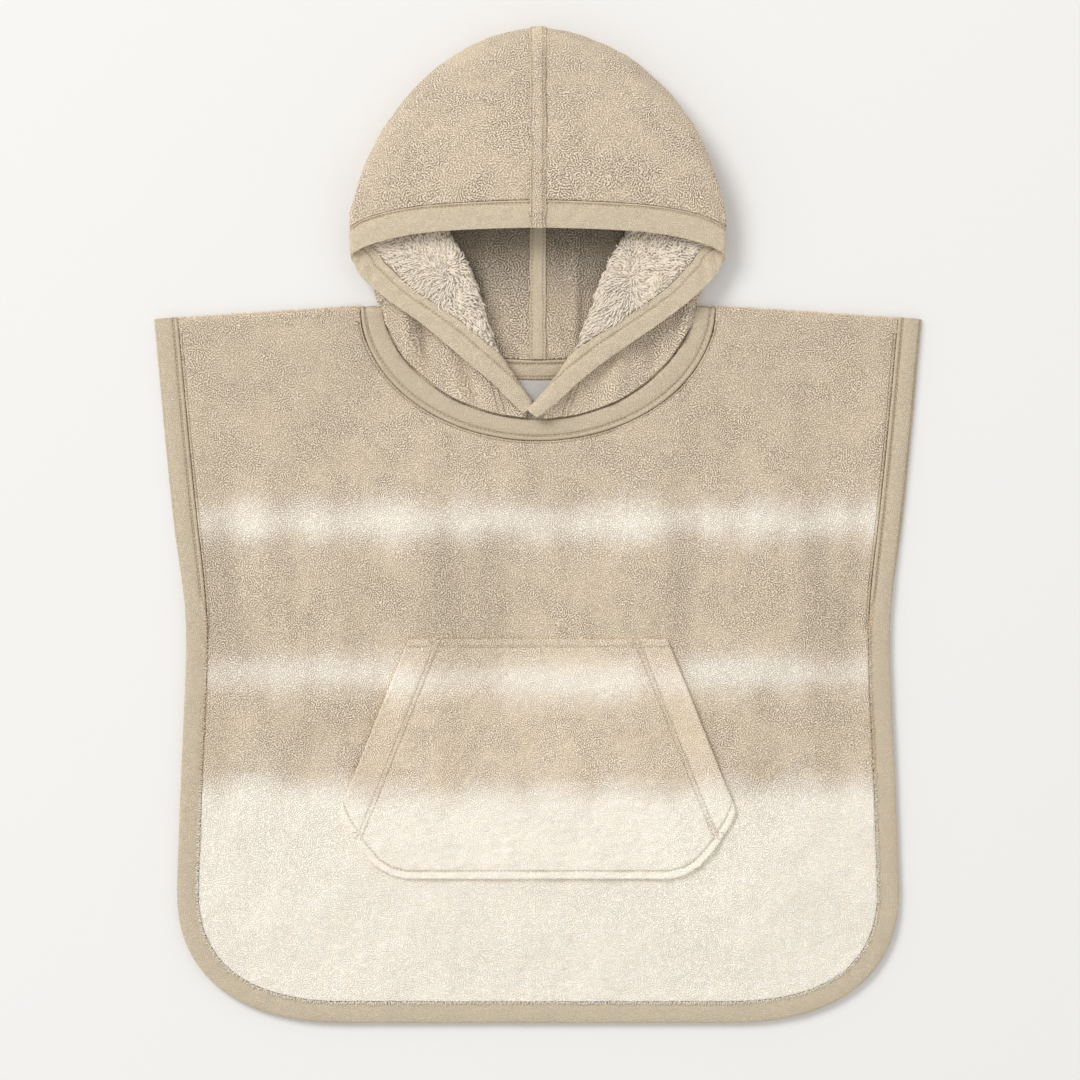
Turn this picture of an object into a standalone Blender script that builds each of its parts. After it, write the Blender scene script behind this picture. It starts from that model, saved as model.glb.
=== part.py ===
"""Hooded bath poncho in terry towelling, laid flat on its back.

The garment lies on the floor with +Z up and the hood toward +Y.  The back panel,
the back of the hood and the back of the neck binding rest on the floor.  The front
panel lies on them, and the hood is opened so that its crown arches over the back of
the hood while both sides of the face opening turn outward like lapels.

All working sizes are in millimetres; meshes are made in metres.
"""
import bpy
import numpy as np

MM = 0.001

# ---------------------------------------------------------------- driving sizes
TERRY = 3.0                 # thickness of one layer of terry
TAPE = 1.0                  # thickness of the seam tapes
LABEL_THICKNESS = 0.5
SEAM_GAP = 0.3              # clearance between pieces that are sewn together
HOOD_NECK_GAP = 1.6         # the same between the hood's neck edge and the neck binding
EDGE_ROUND = 0.8            # how far a cut edge rounds in on each face
DRAW_LIMIT = 0.4            # and the most of the way to the next points that it may go
BINDING_RAISE = 0.2         # a front binding is this much thicker than the terry

SHOULDER_Y = 171.7          # shoulder point beside the neck
SHOULDER_END_Y = 162.0      # shoulder point at the side edge
HEM_Y = -391.7
SIDE_BINDING_WIDTH = 16.5
BACK_SHOW = 2.0             # how far the back edge peeps out beside the armholes
BACK_SHOW_EASE = 60.0       # length over which it draws in again
ARMHOLE_END_Y = -68.0       # front and back are tacked together from here down

CORNER_SIZE = (137.0, 106.7)    # width and height of a rounded hem corner
CORNER_FULLNESS = 2.4           # 2 is an ellipse, more is squarer
SIDE_STEPS = 12                 # divisions of a side, a corner and half the hem
CORNER_STEPS = 10
HEM_STEPS = 4

# Half width of the garment, down the side from the shoulder to the hem corner.
SIDE_COLUMNS = ("y", "half_width")
SIDE_ROWS = (
    (SHOULDER_END_Y, 300.0),
    (51.0, 290.0),
    (-28.0, 281.5),
    (ARMHOLE_END_Y, 275.8),
    (-87.0, 275.6),
    (-156.0, 279.0),
    (-201.0, 281.0),
    (-285.0, 284.0),
)

# Neck curves: half width at the shoulder, lowest point, and how full the curve is.
FRONT_NECK_STEPS = 22
BACK_NECK_STEPS = 16
NECK_COLUMNS = ("half_width", "low_y", "power")
NECK = {
    "front_body": (139.4, 66.5, 1.0),
    "front_hood": (122.5, 82.7, 1.14),
    "back_body": (139.4, 114.2, 1.0),
    "back_hood": (123.6, 129.9, 1.0),
}

# Layers above the floor: middle height of each.
BACK_LAYER_Z = TERRY / 2
FRONT_LAYER_Z = BACK_LAYER_Z + TERRY + SEAM_GAP
POCKET_RISE = TERRY + SEAM_GAP

# Soft upright waves in the front panel.
WAVE_COLUMNS = ("x", "half_width", "height", "y", "reach")
WAVE_ROWS = (
    (-212.0, 26.0, 1.2, -60.0, 190.0),
    (-150.0, 22.0, 1.0, -120.0, 160.0),
    (-84.0, 20.0, 1.1, -20.0, 110.0),
    (-40.0, 24.0, 0.8, -200.0, 150.0),
    (50.0, 24.0, 1.1, -40.0, 130.0),
    (105.0, 20.0, 0.9, -170.0, 150.0),
    (168.0, 26.0, 1.3, -90.0, 190.0),
)

# Pocket outline: half width at each height, from the top edge down.
POCKET_COLUMNS = ("y", "half_width")
POCKET_ROWS = (
    (-89.8, 101.5),
    (-96.0, 104.5),
    (-150.0, 126.0),
    (-205.0, 148.0),
    (-217.0, 153.5),
    (-225.0, 155.8),
    (-233.0, 153.5),
    (-255.0, 139.5),
    (-268.0, 128.0),
    (-275.0, 117.0),
    (-278.3, 104.0),
)
POCKET_COLUMN_COUNT = 15
POCKET_MOUTH_LIFT = 1.6     # the slanted hand openings stand this far off the front
MOUTH_SHARPNESS = 6         # a higher power keeps that lift nearer the edge

LABEL_SIZE = (33.0, 27.0)
LABEL_X = -1.6
LABEL_POINTS = 5
TAPE_WIDTH = 12.7

# ---------------------------------------------------------------- hood sizes
BACK_FOLD_COLUMNS = ("x", "half_width", "height")
BACK_FOLD_ROWS = (          # soft upright folds in the back wall, seen inside the hood
    (-74.0, 13.0, 3.0),
    (-40.0, 10.0, 2.0),
    (31.0, 9.0, 2.6),
    (66.0, 13.0, 3.0),
)
BACK_FOLD_FROM_Y = 150.0    # the folds rise from here to their full height
BACK_FOLD_EASE = 60.0
CROWN_BULGE = 6.0           # how far the crown arches above its edges
CROWN_BULGE_LENGTH = 100.0  # shorter sections arch less
CROWN_DEPTH = 22.0          # how far in from the outline the crown reaches full height
SIDE_FOLD_OUT = 148.0       # outermost line of the side folds
SIDE_FOLD_RADIUS = 3.75
UNDER_SET_BACK = 4.0        # how far the lowest side fold lies in from the top one
HOOD_MIDDLE = (0.0, 238.0)  # the side folds face this point
CORNER_DRIFT = 3.0          # how fast the band's inner edge leaves the side fold

# Crown sections, from the centre seam to the side.  out: distance from the centre.
# edge: free edge of the face opening.  seam: inner edge of its band.  fold: outline
# of the hood, at middle height.  open: 1 is one full round, 0 is a folded-in side.
# tuck: how far in the fold of that side lies.
CROWN_COLUMNS = ("edge_out", "edge_y", "edge_z", "seam_out", "seam_y", "seam_z",
                 "fold_out", "fold_y", "fold_z", "open", "tuck_out", "tuck_y", "neck_out")
CROWN_ROWS = (
    (0.0, 232.8, 34.0, 0.0, 254.3, 36.5, 0.0, 391.5, 18.0, 1.0, 0.0, 380.0, 0.0),
    (22.0, 232.4, 33.7, 21.5, 254.0, 36.2, 41.0, 382.3, 18.0, 1.0, 39.0, 372.0, 24.0),
    (43.3, 231.8, 33.0, 43.0, 253.2, 35.5, 76.5, 361.0, 18.0, 1.0, 70.0, 352.0, 46.0),
    (66.0, 230.8, 31.6, 66.5, 252.0, 34.2, 106.5, 330.5, 18.0, 1.0, 100.0, 322.0, 64.0),
    (88.2, 229.1, 30.0, 91.0, 250.2, 32.2, 129.0, 296.0, 17.6, 0.65, 122.0, 292.0, 77.0),
    (107.0, 226.2, 28.2, 110.0, 247.3, 29.8, 139.0, 269.0, 15.8, 0.0, 118.0, 280.0, 87.0),
    (123.0, 222.3, 26.6, 126.0, 242.5, 27.6, 144.8, 255.0, 14.0, 0.0, 98.0, 270.0, 94.0),
    (136.0, 218.0, 25.2, 137.5, 238.0, 25.0, 147.4, 247.0, 12.95, 0.0, 85.0, 259.0, 99.5),
)

# Corner sections, where the band turns over from the crown to the lapel.
# turn: angle round the side fold, 90 on top and -90 beneath.  under: where the folded-in
# side turns back onto the back of the hood.  neck: point of the neck seam.
CORNER_COLUMNS = ("turn", "edge_y", "seam_y", "fold_y", "tuck_out", "tuck_y",
                  "under_out", "under_y", "neck_out", "neck_y", "neck_z")
CORNER_ROWS = (
    (90.0, 214.8, 234.6, 243.5, 81.5, 252.0, 139.5, 230.0, 104.5, 150.5, 1.5),
    (45.0, 213.2, 233.4, 241.0, 79.5, 248.0, 137.0, 218.5, 107.5, 153.0, 1.5),
    (0.0, 211.8, 232.2, 238.0, 77.5, 244.0, 133.5, 206.0, 110.8, 156.0, 1.5),
    (-45.0, 209.0, 230.0, 234.5, 76.0, 240.5, 130.0, 194.0, 115.0, 160.5, 1.8),
    (-90.0, 205.0, 226.5, 230.5, 74.0, 237.0, 126.2, 180.5, 119.0, 166.0, 2.8),
)

# Lapel sections, from the corner to the throat.  roll: the inner fold of the lapel.
# reach: the share of the layer beneath that lies before the last stretch to the neck.
# swell: how far outward that layer bends there, with some of it toward +Y and up.
LAPEL_COLUMNS = ("edge_out", "edge_y", "edge_z", "roll_out", "roll_y", "roll_z",
                 "roll_radius", "band", "reach", "swell", "neck_out", "neck_z")
LEFT_LAPEL_ROWS = (
    (140.2, 196.9, 17.6, 71.5, 230.0, 13.6, 3.9, 21.5, 0.80, 12.5, 118.6, 4.8),
    (118.1, 176.8, 19.6, 56.5, 203.0, 16.4, 5.2, 21.5, 0.50, 4.0, 116.0, 5.0),
    (92.9, 159.1, 19.4, 48.0, 181.5, 16.6, 5.6, 21.5, 0.30, 0.0, 105.5, 5.2),
    (66.1, 137.0, 17.4, 42.4, 162.5, 15.4, 5.0, 20.5, 0.25, 0.0, 83.5, 5.2),
    (52.0, 124.8, 15.6, 34.6, 142.5, 13.6, 4.2, 15.5, 0.25, 0.0, 65.4, 5.3),
    (37.0, 112.6, 13.2, 22.6, 120.8, 10.8, 3.2, 9.0, 0.25, 0.0, 45.7, 5.6),
    (24.0, 99.6, 11.4, 13.0, 107.2, 9.2, 2.5, 5.5, 0.25, 0.0, 27.5, 5.8),
    (11.5, 87.4, 9.6, 3.6, 94.2, 7.9, 2.0, 3.5, 0.25, 0.0, 9.5, 6.0),
)
RIGHT_LAPEL_ROWS = (
    (140.2, 196.9, 17.6, 71.5, 230.0, 13.6, 3.9, 21.5, 0.80, 12.5, 118.6, 4.8),
    (121.5, 178.0, 19.6, 57.5, 205.0, 16.4, 5.2, 21.5, 0.50, 4.0, 116.0, 5.0),
    (96.8, 159.1, 19.6, 48.6, 185.0, 16.8, 5.6, 21.5, 0.30, 0.0, 105.5, 5.2),
    (70.9, 141.3, 18.4, 40.6, 161.8, 16.2, 5.0, 20.5, 0.25, 0.0, 83.5, 5.2),
    (50.4, 126.8, 17.6, 32.0, 141.6, 15.4, 4.2, 15.0, 0.25, 0.0, 65.4, 5.2),
    (30.7, 111.0, 17.8, 16.5, 119.0, 15.4, 3.2, 9.0, 0.25, 0.0, 45.7, 5.6),
    (14.2, 95.5, 17.6, 5.0, 103.5, 16.2, 2.5, 5.5, 0.25, 0.0, 27.5, 6.4),
    (-1.0, 84.0, 17.8, -8.2, 90.0, 16.0, 2.6, 3.0, 0.25, 0.0, 4.5, 8.0),
)

SWELL_WAY = (1.0, 0.25, 0.17)

BAND_STEPS = 3              # divisions of the band, of each layer and of each fold
CROWN_STEPS = 4
LAYER_STEPS = 2
TURN_STEPS = 4
BACK_STEPS = 6

# ---------------------------------------------------------------- colours
COLOURS = {                 # colour, roughness
    "terry": ((0.58, 0.46, 0.34), 0.95),
    "binding": ((0.63, 0.52, 0.38), 0.85),
    "tape": ((0.60, 0.49, 0.36), 0.80),
    "label": ((0.62, 0.61, 0.58), 0.70),
}


# ---------------------------------------------------------------- shared helpers
def table(columns, rows):
    """A dict of column arrays for a table given as rows."""
    return dict(zip(columns, np.array(rows, dtype=float).T))


def row_dicts(columns, rows):
    """One dict for each row of a table."""
    return [dict(zip(columns, row)) for row in rows]


def unit(vectors):
    """Vectors scaled to length one."""
    lengths = np.linalg.norm(vectors, axis=-1, keepdims=True)
    return vectors / np.maximum(lengths, 1e-9)


def smooth_slopes(rows):
    """Slope at each row that lets a cubic pass without overshooting any row."""
    steps = np.diff(rows, axis=0)
    before, after = steps[:-1], steps[1:]
    total = before + after
    same_way = (before * after > 0)
    inner = np.where(same_way, 2 * before * after / np.where(same_way, total, 1.0), 0.0)
    return np.concatenate([steps[:1], inner, steps[-1:]])


def smooth_rows(rows, divisions, mirror_start=False):
    """Rows and the ones between them; divisions says how many steps each gap gets."""
    slopes = smooth_slopes(rows)
    if mirror_start:
        mirrored = rows[1:2] * np.array([-1.0, 1.0, 1.0])
        slopes[0] = smooth_slopes(np.concatenate([mirrored, rows]))[1]
    made = [rows[:1]]
    for start, count in enumerate(divisions):
        part = (np.arange(1, count + 1) / count).reshape(-1, *([1] * (rows.ndim - 1)))
        square, cube = part ** 2, part ** 3
        made.append(rows[start] * (2 * cube - 3 * square + 1)
                    + slopes[start] * (cube - 2 * square + part)
                    + rows[start + 1] * (3 * square - 2 * cube)
                    + slopes[start + 1] * (cube - square))
    return np.concatenate(made)


def line(start, end, steps):
    """Points after start, up to and including end."""
    part = (np.arange(1, steps + 1) / steps)[:, None]
    return np.asarray(start) * (1 - part) + np.asarray(end) * part


def make_material(name):
    """Principled material in one of the garment's colours."""
    material = bpy.data.materials.get(name) or bpy.data.materials.new(name)
    material.use_nodes = True
    shader = material.node_tree.nodes["Principled BSDF"]
    colour, roughness = COLOURS[name]
    shader.inputs["Base Color"].default_value = (*colour, 1.0)
    shader.inputs["Roughness"].default_value = roughness
    shader.inputs["Metallic"].default_value = 0.0
    return material


def add_piece(name, points, faces, material):
    """One closed piece of the garment, its faces turned outward."""
    points = np.asarray(points) * MM
    anchor = points.mean(axis=0)
    local = points - anchor
    volume = sum(np.dot(local[face[0]], np.cross(local[face[k]], local[face[k + 1]]))
                 for face in faces for k in range(1, len(face) - 1))
    if volume < 0:
        faces = [tuple(reversed(face)) for face in faces]
    mesh = bpy.data.meshes.new(name)
    mesh.from_pydata(points.tolist(), [], faces)
    mesh.materials.append(make_material(material))
    mesh.validate()
    mesh.polygons.foreach_set("use_smooth", [True] * len(mesh.polygons))
    piece = bpy.data.objects.new(name, mesh)
    bpy.context.scene.collection.objects.link(piece)
    return piece


def grid_normals(grid):
    """Unit normal at each point of a grid: the mean of the faces around it."""
    faces = unit(np.cross(grid[1:, 1:] - grid[:-1, :-1], grid[1:, :-1] - grid[:-1, 1:]))
    total = np.zeros_like(grid)
    total[:-1, :-1] += faces
    total[1:, :-1] += faces
    total[:-1, 1:] += faces
    total[1:, 1:] += faces
    return -unit(total)


def draw_in(border, neighbours, distance):
    """Border points moved toward their neighbours, at most DRAW_LIMIT of the way."""
    room = np.linalg.norm(neighbours - border, axis=-1, keepdims=True)
    return border + unit(neighbours - border) * np.minimum(distance, DRAW_LIMIT * room)


def rim_indices(rows, columns):
    """Places of the border points of a grid, once round."""
    across = [(0, j) for j in range(columns - 1)]
    down = [(i, columns - 1) for i in range(rows - 1)]
    back = [(rows - 1, j) for j in range(columns - 1, 0, -1)]
    up = [(i, 0) for i in range(rows - 1, 0, -1)]
    return across + down + back + up


def cloth_wall(name, grid, thickness, material):
    """A wall of cloth on both sides of a grid of middle points, with a rounded rim."""
    rows, columns = grid.shape[:2]
    half = grid_normals(grid) * thickness / 2
    drawn_in = grid.copy()
    shrink = min(EDGE_ROUND, thickness / 3)
    drawn_in[0] = draw_in(drawn_in[0], grid[1], shrink)
    drawn_in[-1] = draw_in(drawn_in[-1], grid[-2], shrink)
    drawn_in[:, 0] = draw_in(drawn_in[:, 0], drawn_in[:, 1], shrink)
    drawn_in[:, -1] = draw_in(drawn_in[:, -1], drawn_in[:, -2], shrink)
    rim = rim_indices(rows, columns)
    rim_points = [grid[place] for place in rim]
    count = rows * columns
    points = np.concatenate([(drawn_in + half).reshape(-1, 3),
                             (drawn_in - half).reshape(-1, 3), rim_points])
    faces = []
    for i in range(rows - 1):
        for j in range(columns - 1):
            a, b = i * columns + j, i * columns + j + 1
            c, d = b + columns, a + columns
            faces.append((a, b, c, d))
            faces.append((a + count, d + count, c + count, b + count))
    for k, (i, j) in enumerate(rim):
        next_i, next_j = rim[(k + 1) % len(rim)]
        upper, next_upper = i * columns + j, next_i * columns + next_j
        middle, next_middle = 2 * count + k, 2 * count + (k + 1) % len(rim)
        faces.append((upper, middle, next_middle, next_upper))
        faces.append((upper + count, next_upper + count, next_middle, middle))
    return add_piece(name, points, faces, material)


# A binding's section: place across its width, and height as a part of its thickness.
STRIP_COLUMNS = ("across", "height")
STRIP_ROWS = (
    (0.00, 0.50), (0.05, 0.00), (0.95, 0.00), (1.00, 0.50),
    (0.94, 0.92), (0.50, 1.00), (0.07, 0.94),
)


def strip(name, inner, outer, floor_z, thickness, material):
    """A sewn-on strip between two curves of (x, y) points, flat beneath and rounded."""
    section = table(STRIP_COLUMNS, STRIP_ROWS)
    across = section["across"][None, :, None]
    flat = inner[:, None, :] * (1 - across) + outer[:, None, :] * across
    height = np.broadcast_to(floor_z + section["height"] * thickness, flat.shape[:2])
    points = np.concatenate([flat, height[..., None]], axis=2)
    stations, sides = points.shape[:2]
    faces = []
    for i in range(stations - 1):
        for j in range(sides):
            k = (j + 1) % sides
            faces.append((i * sides + j, i * sides + k,
                          (i + 1) * sides + k, (i + 1) * sides + j))
    faces.append(tuple(range(sides))[::-1])
    faces.append(tuple(range((stations - 1) * sides, stations * sides)))
    return add_piece(name, points.reshape(-1, 3), faces, material)


# ---------------------------------------------------------------- outlines
def body_outline(side_steps=SIDE_STEPS, corner_steps=CORNER_STEPS, hem_steps=HEM_STEPS):
    """Outer edge of the front: left shoulder, side, hem, side, right shoulder."""
    sides = table(SIDE_COLUMNS, SIDE_ROWS)
    heights = np.linspace(sides["y"][0], sides["y"][-1], side_steps + 1)
    widths = np.interp(-heights, -sides["y"], sides["half_width"])
    side = np.stack([widths, heights], axis=1)
    angle = np.linspace(0, np.pi / 2, corner_steps + 1)[1:]
    centre = side[-1] - np.array([CORNER_SIZE[0], 0.0])
    corner = centre + np.stack([
        CORNER_SIZE[0] * np.cos(angle) ** (2 / CORNER_FULLNESS),
        -CORNER_SIZE[1] * np.sin(angle) ** (2 / CORNER_FULLNESS)], axis=1)
    hem = line(corner[-1], (0.0, HEM_Y), hem_steps)
    half = np.concatenate([side, corner, hem])
    return np.concatenate([half * np.array([-1.0, 1.0]), half[-2::-1]])


def inset(curve, distance):
    """A curve moved inward, to the left of its direction of travel."""
    along = unit(np.gradient(curve, axis=0))
    across = np.stack([-along[:, 1], along[:, 0]], axis=1)
    return curve + across * distance


def neck_curve(which, steps, clearance=0.0):
    """A neck curve from the left shoulder to the right, clearance away from the neck."""
    shape = dict(zip(NECK_COLUMNS, NECK[which]))
    angle = np.linspace(-np.pi / 2, np.pi / 2, steps + 1)
    half_width = shape["half_width"] + clearance
    depth = SHOULDER_Y - shape["low_y"] + clearance
    return np.stack([half_width * np.sin(angle),
                     SHOULDER_Y - depth * np.cos(angle) ** shape["power"]], axis=1)


def panel_grid(neck, neck_steps, shoulder_steps):
    """Flat grid of (x, y) points that fills a body panel between its edges.

    The columns run from the shoulders and the neck curve down to the hem, and the
    rows from one side to the other.  Each point is worked out from the four edges
    around it, so that the grid follows all of them.
    """
    edge = inset(body_outline(), SIDE_BINDING_WIDTH + SEAM_GAP)
    half = edge[: len(edge) // 2 + 1] * np.array([-1.0, 1.0])
    half[0, 1] = SHOULDER_END_Y
    neck_points = neck_curve(neck, neck_steps, SEAM_GAP)
    left_end = half[0] * np.array([-1.0, 1.0])
    left = np.concatenate([[left_end], line(left_end, neck_points[0], shoulder_steps)[:-1]])
    top = np.concatenate([left, neck_points, left[::-1] * np.array([-1.0, 1.0])])

    corner = SIDE_STEPS + CORNER_STEPS // 2
    side = half[: corner + 1]
    hem = half[corner:][::-1]
    hem_x = top[:, 0] * side[-1, 0] / side[0, 0]
    hem_y = np.interp(np.abs(hem_x), hem[:, 0], hem[:, 1])

    down = np.linspace(0, 1, len(side))[:, None]
    over = (top[:, 0] / top[-1, 0])[None, :]
    straight_x = over * ((1 - down) * top[-1, 0] + down * hem_x[-1])
    x = (1 - down) * top[:, 0] + down * hem_x + over * side[:, :1] - straight_x
    y = (1 - down) * (top[:, 1] - top[0, 1]) + down * (hem_y - hem_y[0]) + side[:, 1:]
    return np.stack([x, y], axis=2)


def front_height(x, y):
    """Middle height of the front panel: its level and the soft waves in it."""
    height = np.full(np.shape(x), FRONT_LAYER_Z)
    for wave in row_dicts(WAVE_COLUMNS, WAVE_ROWS):
        across = np.exp(-((x - wave["x"]) / wave["half_width"]) ** 2)
        along = np.clip(1 - ((y - wave["y"]) / wave["reach"]) ** 2, 0, 1)
        height = height + wave["height"] * across * along ** 2
    return height


def with_height(flat, height):
    """A flat grid of (x, y) points given its heights."""
    return np.concatenate([flat, np.broadcast_to(height, flat.shape[:2])[..., None]], axis=2)


# ---------------------------------------------------------------- body pieces
def build_body():
    """Front and back panels with their side and hem bindings."""
    back = panel_grid("back_body", BACK_NECK_STEPS, 3)
    cloth_wall("back_panel", with_height(back, BACK_LAYER_Z), TERRY, "terry")
    front = panel_grid("front_body", FRONT_NECK_STEPS, 5)
    cloth_wall("front_panel", with_height(front, front_height(front[..., 0], front[..., 1])),
               TERRY, "terry")

    outer = body_outline()
    inner = inset(outer, SIDE_BINDING_WIDTH)
    show = BACK_SHOW * np.clip((outer[:, 1] - ARMHOLE_END_Y) / BACK_SHOW_EASE, 0, 1)
    strip("front_binding", inner, outer, TERRY + SEAM_GAP, TERRY + BINDING_RAISE, "binding")
    strip("back_binding", inner, inset(outer, -show[:, None]), 0.0, TERRY, "binding")


def build_neck_binding():
    """The neck binding: its front stretch on the front panel, its back one beneath."""
    strip("neck_binding_front", neck_curve("front_hood", FRONT_NECK_STEPS),
          neck_curve("front_body", FRONT_NECK_STEPS), TERRY + SEAM_GAP, TERRY + BINDING_RAISE, "binding")
    strip("neck_binding_back", neck_curve("back_hood", BACK_NECK_STEPS),
          neck_curve("back_body", BACK_NECK_STEPS), 0.0, TERRY, "binding")


def build_pocket():
    """Pocket laid on the front panel, from the panel's own points moved out."""
    rows = table(POCKET_COLUMNS, POCKET_ROWS)
    over = np.linspace(-1, 1, POCKET_COLUMN_COUNT)
    x = rows["half_width"][:, None] * over
    y = np.broadcast_to(rows["y"][:, None], x.shape)
    widest = rows["y"][rows["half_width"].argmax()]
    along_mouth = np.clip((rows["y"][0] - y) / (rows["y"][0] - widest), 0, 1)
    lift = POCKET_MOUTH_LIFT * np.sin(np.pi * along_mouth) * np.abs(over) ** MOUTH_SHARPNESS
    height = front_height(x, y) + POCKET_RISE + lift
    cloth_wall("pocket", np.stack([x, y, height], axis=2), TERRY, "terry")


def build_label():
    """Bare woven label that hangs from the back of the neck binding."""
    top = NECK["back_body"][1] - 2 * SEAM_GAP
    x = LABEL_X + LABEL_SIZE[0] * np.linspace(-0.5, 0.5, LABEL_POINTS)
    y = top - LABEL_SIZE[1] * np.linspace(0, 1, LABEL_POINTS)
    flat = np.stack(np.meshgrid(x, y), axis=2)
    height = TERRY + SEAM_GAP + LABEL_THICKNESS / 2
    cloth_wall("label", with_height(flat, height), LABEL_THICKNESS, "label")


# ---------------------------------------------------------------- hood
def turn(apex, toward, radius, start=90.0, steps=TURN_STEPS, above=None, beneath=None):
    """Points after the start of a fold, round its apex from the upper to the lower layer.

    toward is the flat direction from the apex to the cloth; above and beneath are how
    far the fold reaches that way in each layer, when that isn't its radius.
    """
    angle = np.radians(np.linspace(start, -90.0, steps + 1))[1:, None]
    upper = radius if above is None else above
    lower = radius if beneath is None else beneath
    sideways = np.asarray(toward) * np.where(angle > 0, upper, lower) * (1 - np.cos(angle))
    return np.asarray(apex) + np.concatenate([sideways, radius * np.sin(angle)], axis=1)


def folded_side(fold, inward, tuck, under, under_in, radius, start=90.0, drift=0.0):
    """The three folds of a folded-in side and the layers between them.

    fold, tuck and under are the (x, y) places of the folds, from the top one down.
    """
    tuck_in = unit(tuck - fold)
    room = min(radius, np.linalg.norm(tuck - fold) / 2)
    first = turn(np.append(fold, BACK_LAYER_Z + 5 * radius), inward, radius, start,
                 beneath=room)
    first[:, 0] -= drift * np.arange(1, TURN_STEPS + 1)
    second = turn(np.append(tuck, BACK_LAYER_Z + 3 * radius), -tuck_in, radius,
                  above=room, beneath=room)
    third = turn(np.append(under, BACK_LAYER_Z + radius), under_in, radius, above=room)
    second_start = np.append(tuck - tuck_in * room, BACK_LAYER_Z + 4 * radius)
    third_start = np.append(under + under_in * room, BACK_LAYER_Z + 2 * radius)
    return np.concatenate([first, line(first[-1], second_start, LAYER_STEPS), second,
                           line(second[-1], third_start, LAYER_STEPS), third])


def flat_direction(start, end):
    """Unit (x, y) direction from one point to another."""
    return unit(np.asarray(end)[:2] - np.asarray(start)[:2])


def hood_neck_point(which, out, height):
    """Point of the hood's neck edge at a distance from the centre and a height."""
    shape = dict(zip(NECK_COLUMNS, NECK[which]))
    half_width = shape["half_width"] - HOOD_NECK_GAP
    depth = SHOULDER_Y - shape["low_y"] - HOOD_NECK_GAP
    side = min(abs(out) / half_width, 1.0)
    y = SHOULDER_Y - depth * (1 - side ** 2) ** (shape["power"] / 2)
    return np.array([np.sign(out) * side * half_width, y, height])


def crown_section(row):
    """Free edge, band, crown, outline fold, back of the hood, neck; out from the centre."""
    edge = np.array([row["edge_out"], row["edge_y"], row["edge_z"]])
    seam = np.array([row["seam_out"], row["seam_y"], row["seam_z"]])
    fold = np.array([row["fold_out"], row["fold_y"]])
    neck = hood_neck_point("back_hood", row["neck_out"], BACK_LAYER_Z)
    inward = flat_direction(fold, HOOD_MIDDLE)

    rise = row["fold_z"] - BACK_LAYER_Z
    open_top = np.append(fold + inward * CROWN_DEPTH, row["fold_z"] + rise)
    radius = rise / 3
    tuck = np.array([row["tuck_out"], row["tuck_y"]])
    tucked_top = np.append(fold + inward * radius, row["fold_z"] + rise)
    set_back = min(UNDER_SET_BACK, np.linalg.norm(tuck - fold) / 4)
    tucked_fold = folded_side(fold, inward, tuck, fold + inward * set_back, inward, radius)

    evenly = np.linspace(row["fold_z"] + rise, BACK_LAYER_Z, len(tucked_fold) + 1)[1:, None]
    level = (tucked_fold[:, 2:] + evenly) / 2
    round_in = 1 - np.sqrt(1 - np.clip((level - row["fold_z"]) / rise, -1, 1) ** 2)
    open_fold = np.concatenate([fold + inward * CROWN_DEPTH * round_in, level], axis=1)
    share = row["open"]
    top = open_top * share + tucked_top * (1 - share)
    fold_points = open_fold * share + tucked_fold * (1 - share)
    crown = line(seam, top, CROWN_STEPS)
    length = np.linalg.norm(top - seam)
    arch = CROWN_BULGE * min(1.0, length / CROWN_BULGE_LENGTH)
    crown[:, 2] += arch * np.sin(np.linspace(0, np.pi, CROWN_STEPS + 1)[1:])
    return np.concatenate([[edge], line(edge, seam, BAND_STEPS), crown, fold_points,
                           line(fold_points[-1], neck, BACK_STEPS)])


def corner_section(row):
    """Section where the band turns over at the end of the crown."""
    radius = SIDE_FOLD_RADIUS
    height = BACK_LAYER_Z + 5 * radius
    angle = np.radians(row["turn"])
    out = SIDE_FOLD_OUT - radius + radius * np.cos(angle)
    level = height + radius * np.sin(angle)
    edge = np.array([out - EDGE_ROUND / 2, row["edge_y"], level])
    seam = np.array([out, row["seam_y"], level])
    start = np.array([out, row["fold_y"], level])
    fold = np.array([SIDE_FOLD_OUT, row["fold_y"]])
    tuck = np.array([row["tuck_out"], row["tuck_y"]])
    under = np.array([row["under_out"], row["under_y"]])
    neck = np.array([row["neck_out"], row["neck_y"], row["neck_z"]])
    inward = np.array([-1.0, 0.0])
    drift = CORNER_DRIFT * (90.0 - row["turn"]) / 180.0
    side = folded_side(fold, inward, tuck, under, inward, radius, row["turn"], drift)
    return np.concatenate([[edge], line(edge, seam, BAND_STEPS), line(seam, start, CROWN_STEPS),
                           side, line(side[-1], neck, BACK_STEPS)])


def lapel_section(row):
    """Free edge, band and lapel with its inside up, roll, and out beneath to the neck."""
    edge = np.array([row["edge_out"], row["edge_y"], row["edge_z"]])
    roll = np.array([row["roll_out"], row["roll_y"], row["roll_z"]])
    radius = row["roll_radius"]
    outward = flat_direction(roll, edge)
    lapel_end = roll + np.append(outward * radius, radius)
    seam = edge + unit(lapel_end - edge) * row["band"]
    neck = hood_neck_point("front_hood", row["neck_out"], row["neck_z"])
    rolled = turn(roll, outward, radius)
    lapel = line(seam, lapel_end, CROWN_STEPS + TURN_STEPS + LAYER_STEPS)
    reached = rolled[-1] + (neck - rolled[-1]) * row["reach"]
    reached += row["swell"] * np.array(SWELL_WAY)
    return np.concatenate([[edge], line(edge, seam, BAND_STEPS), lapel, rolled,
                           line(rolled[-1], reached, LAYER_STEPS),
                           line(reached, neck, TURN_STEPS + BACK_STEPS)])


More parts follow.
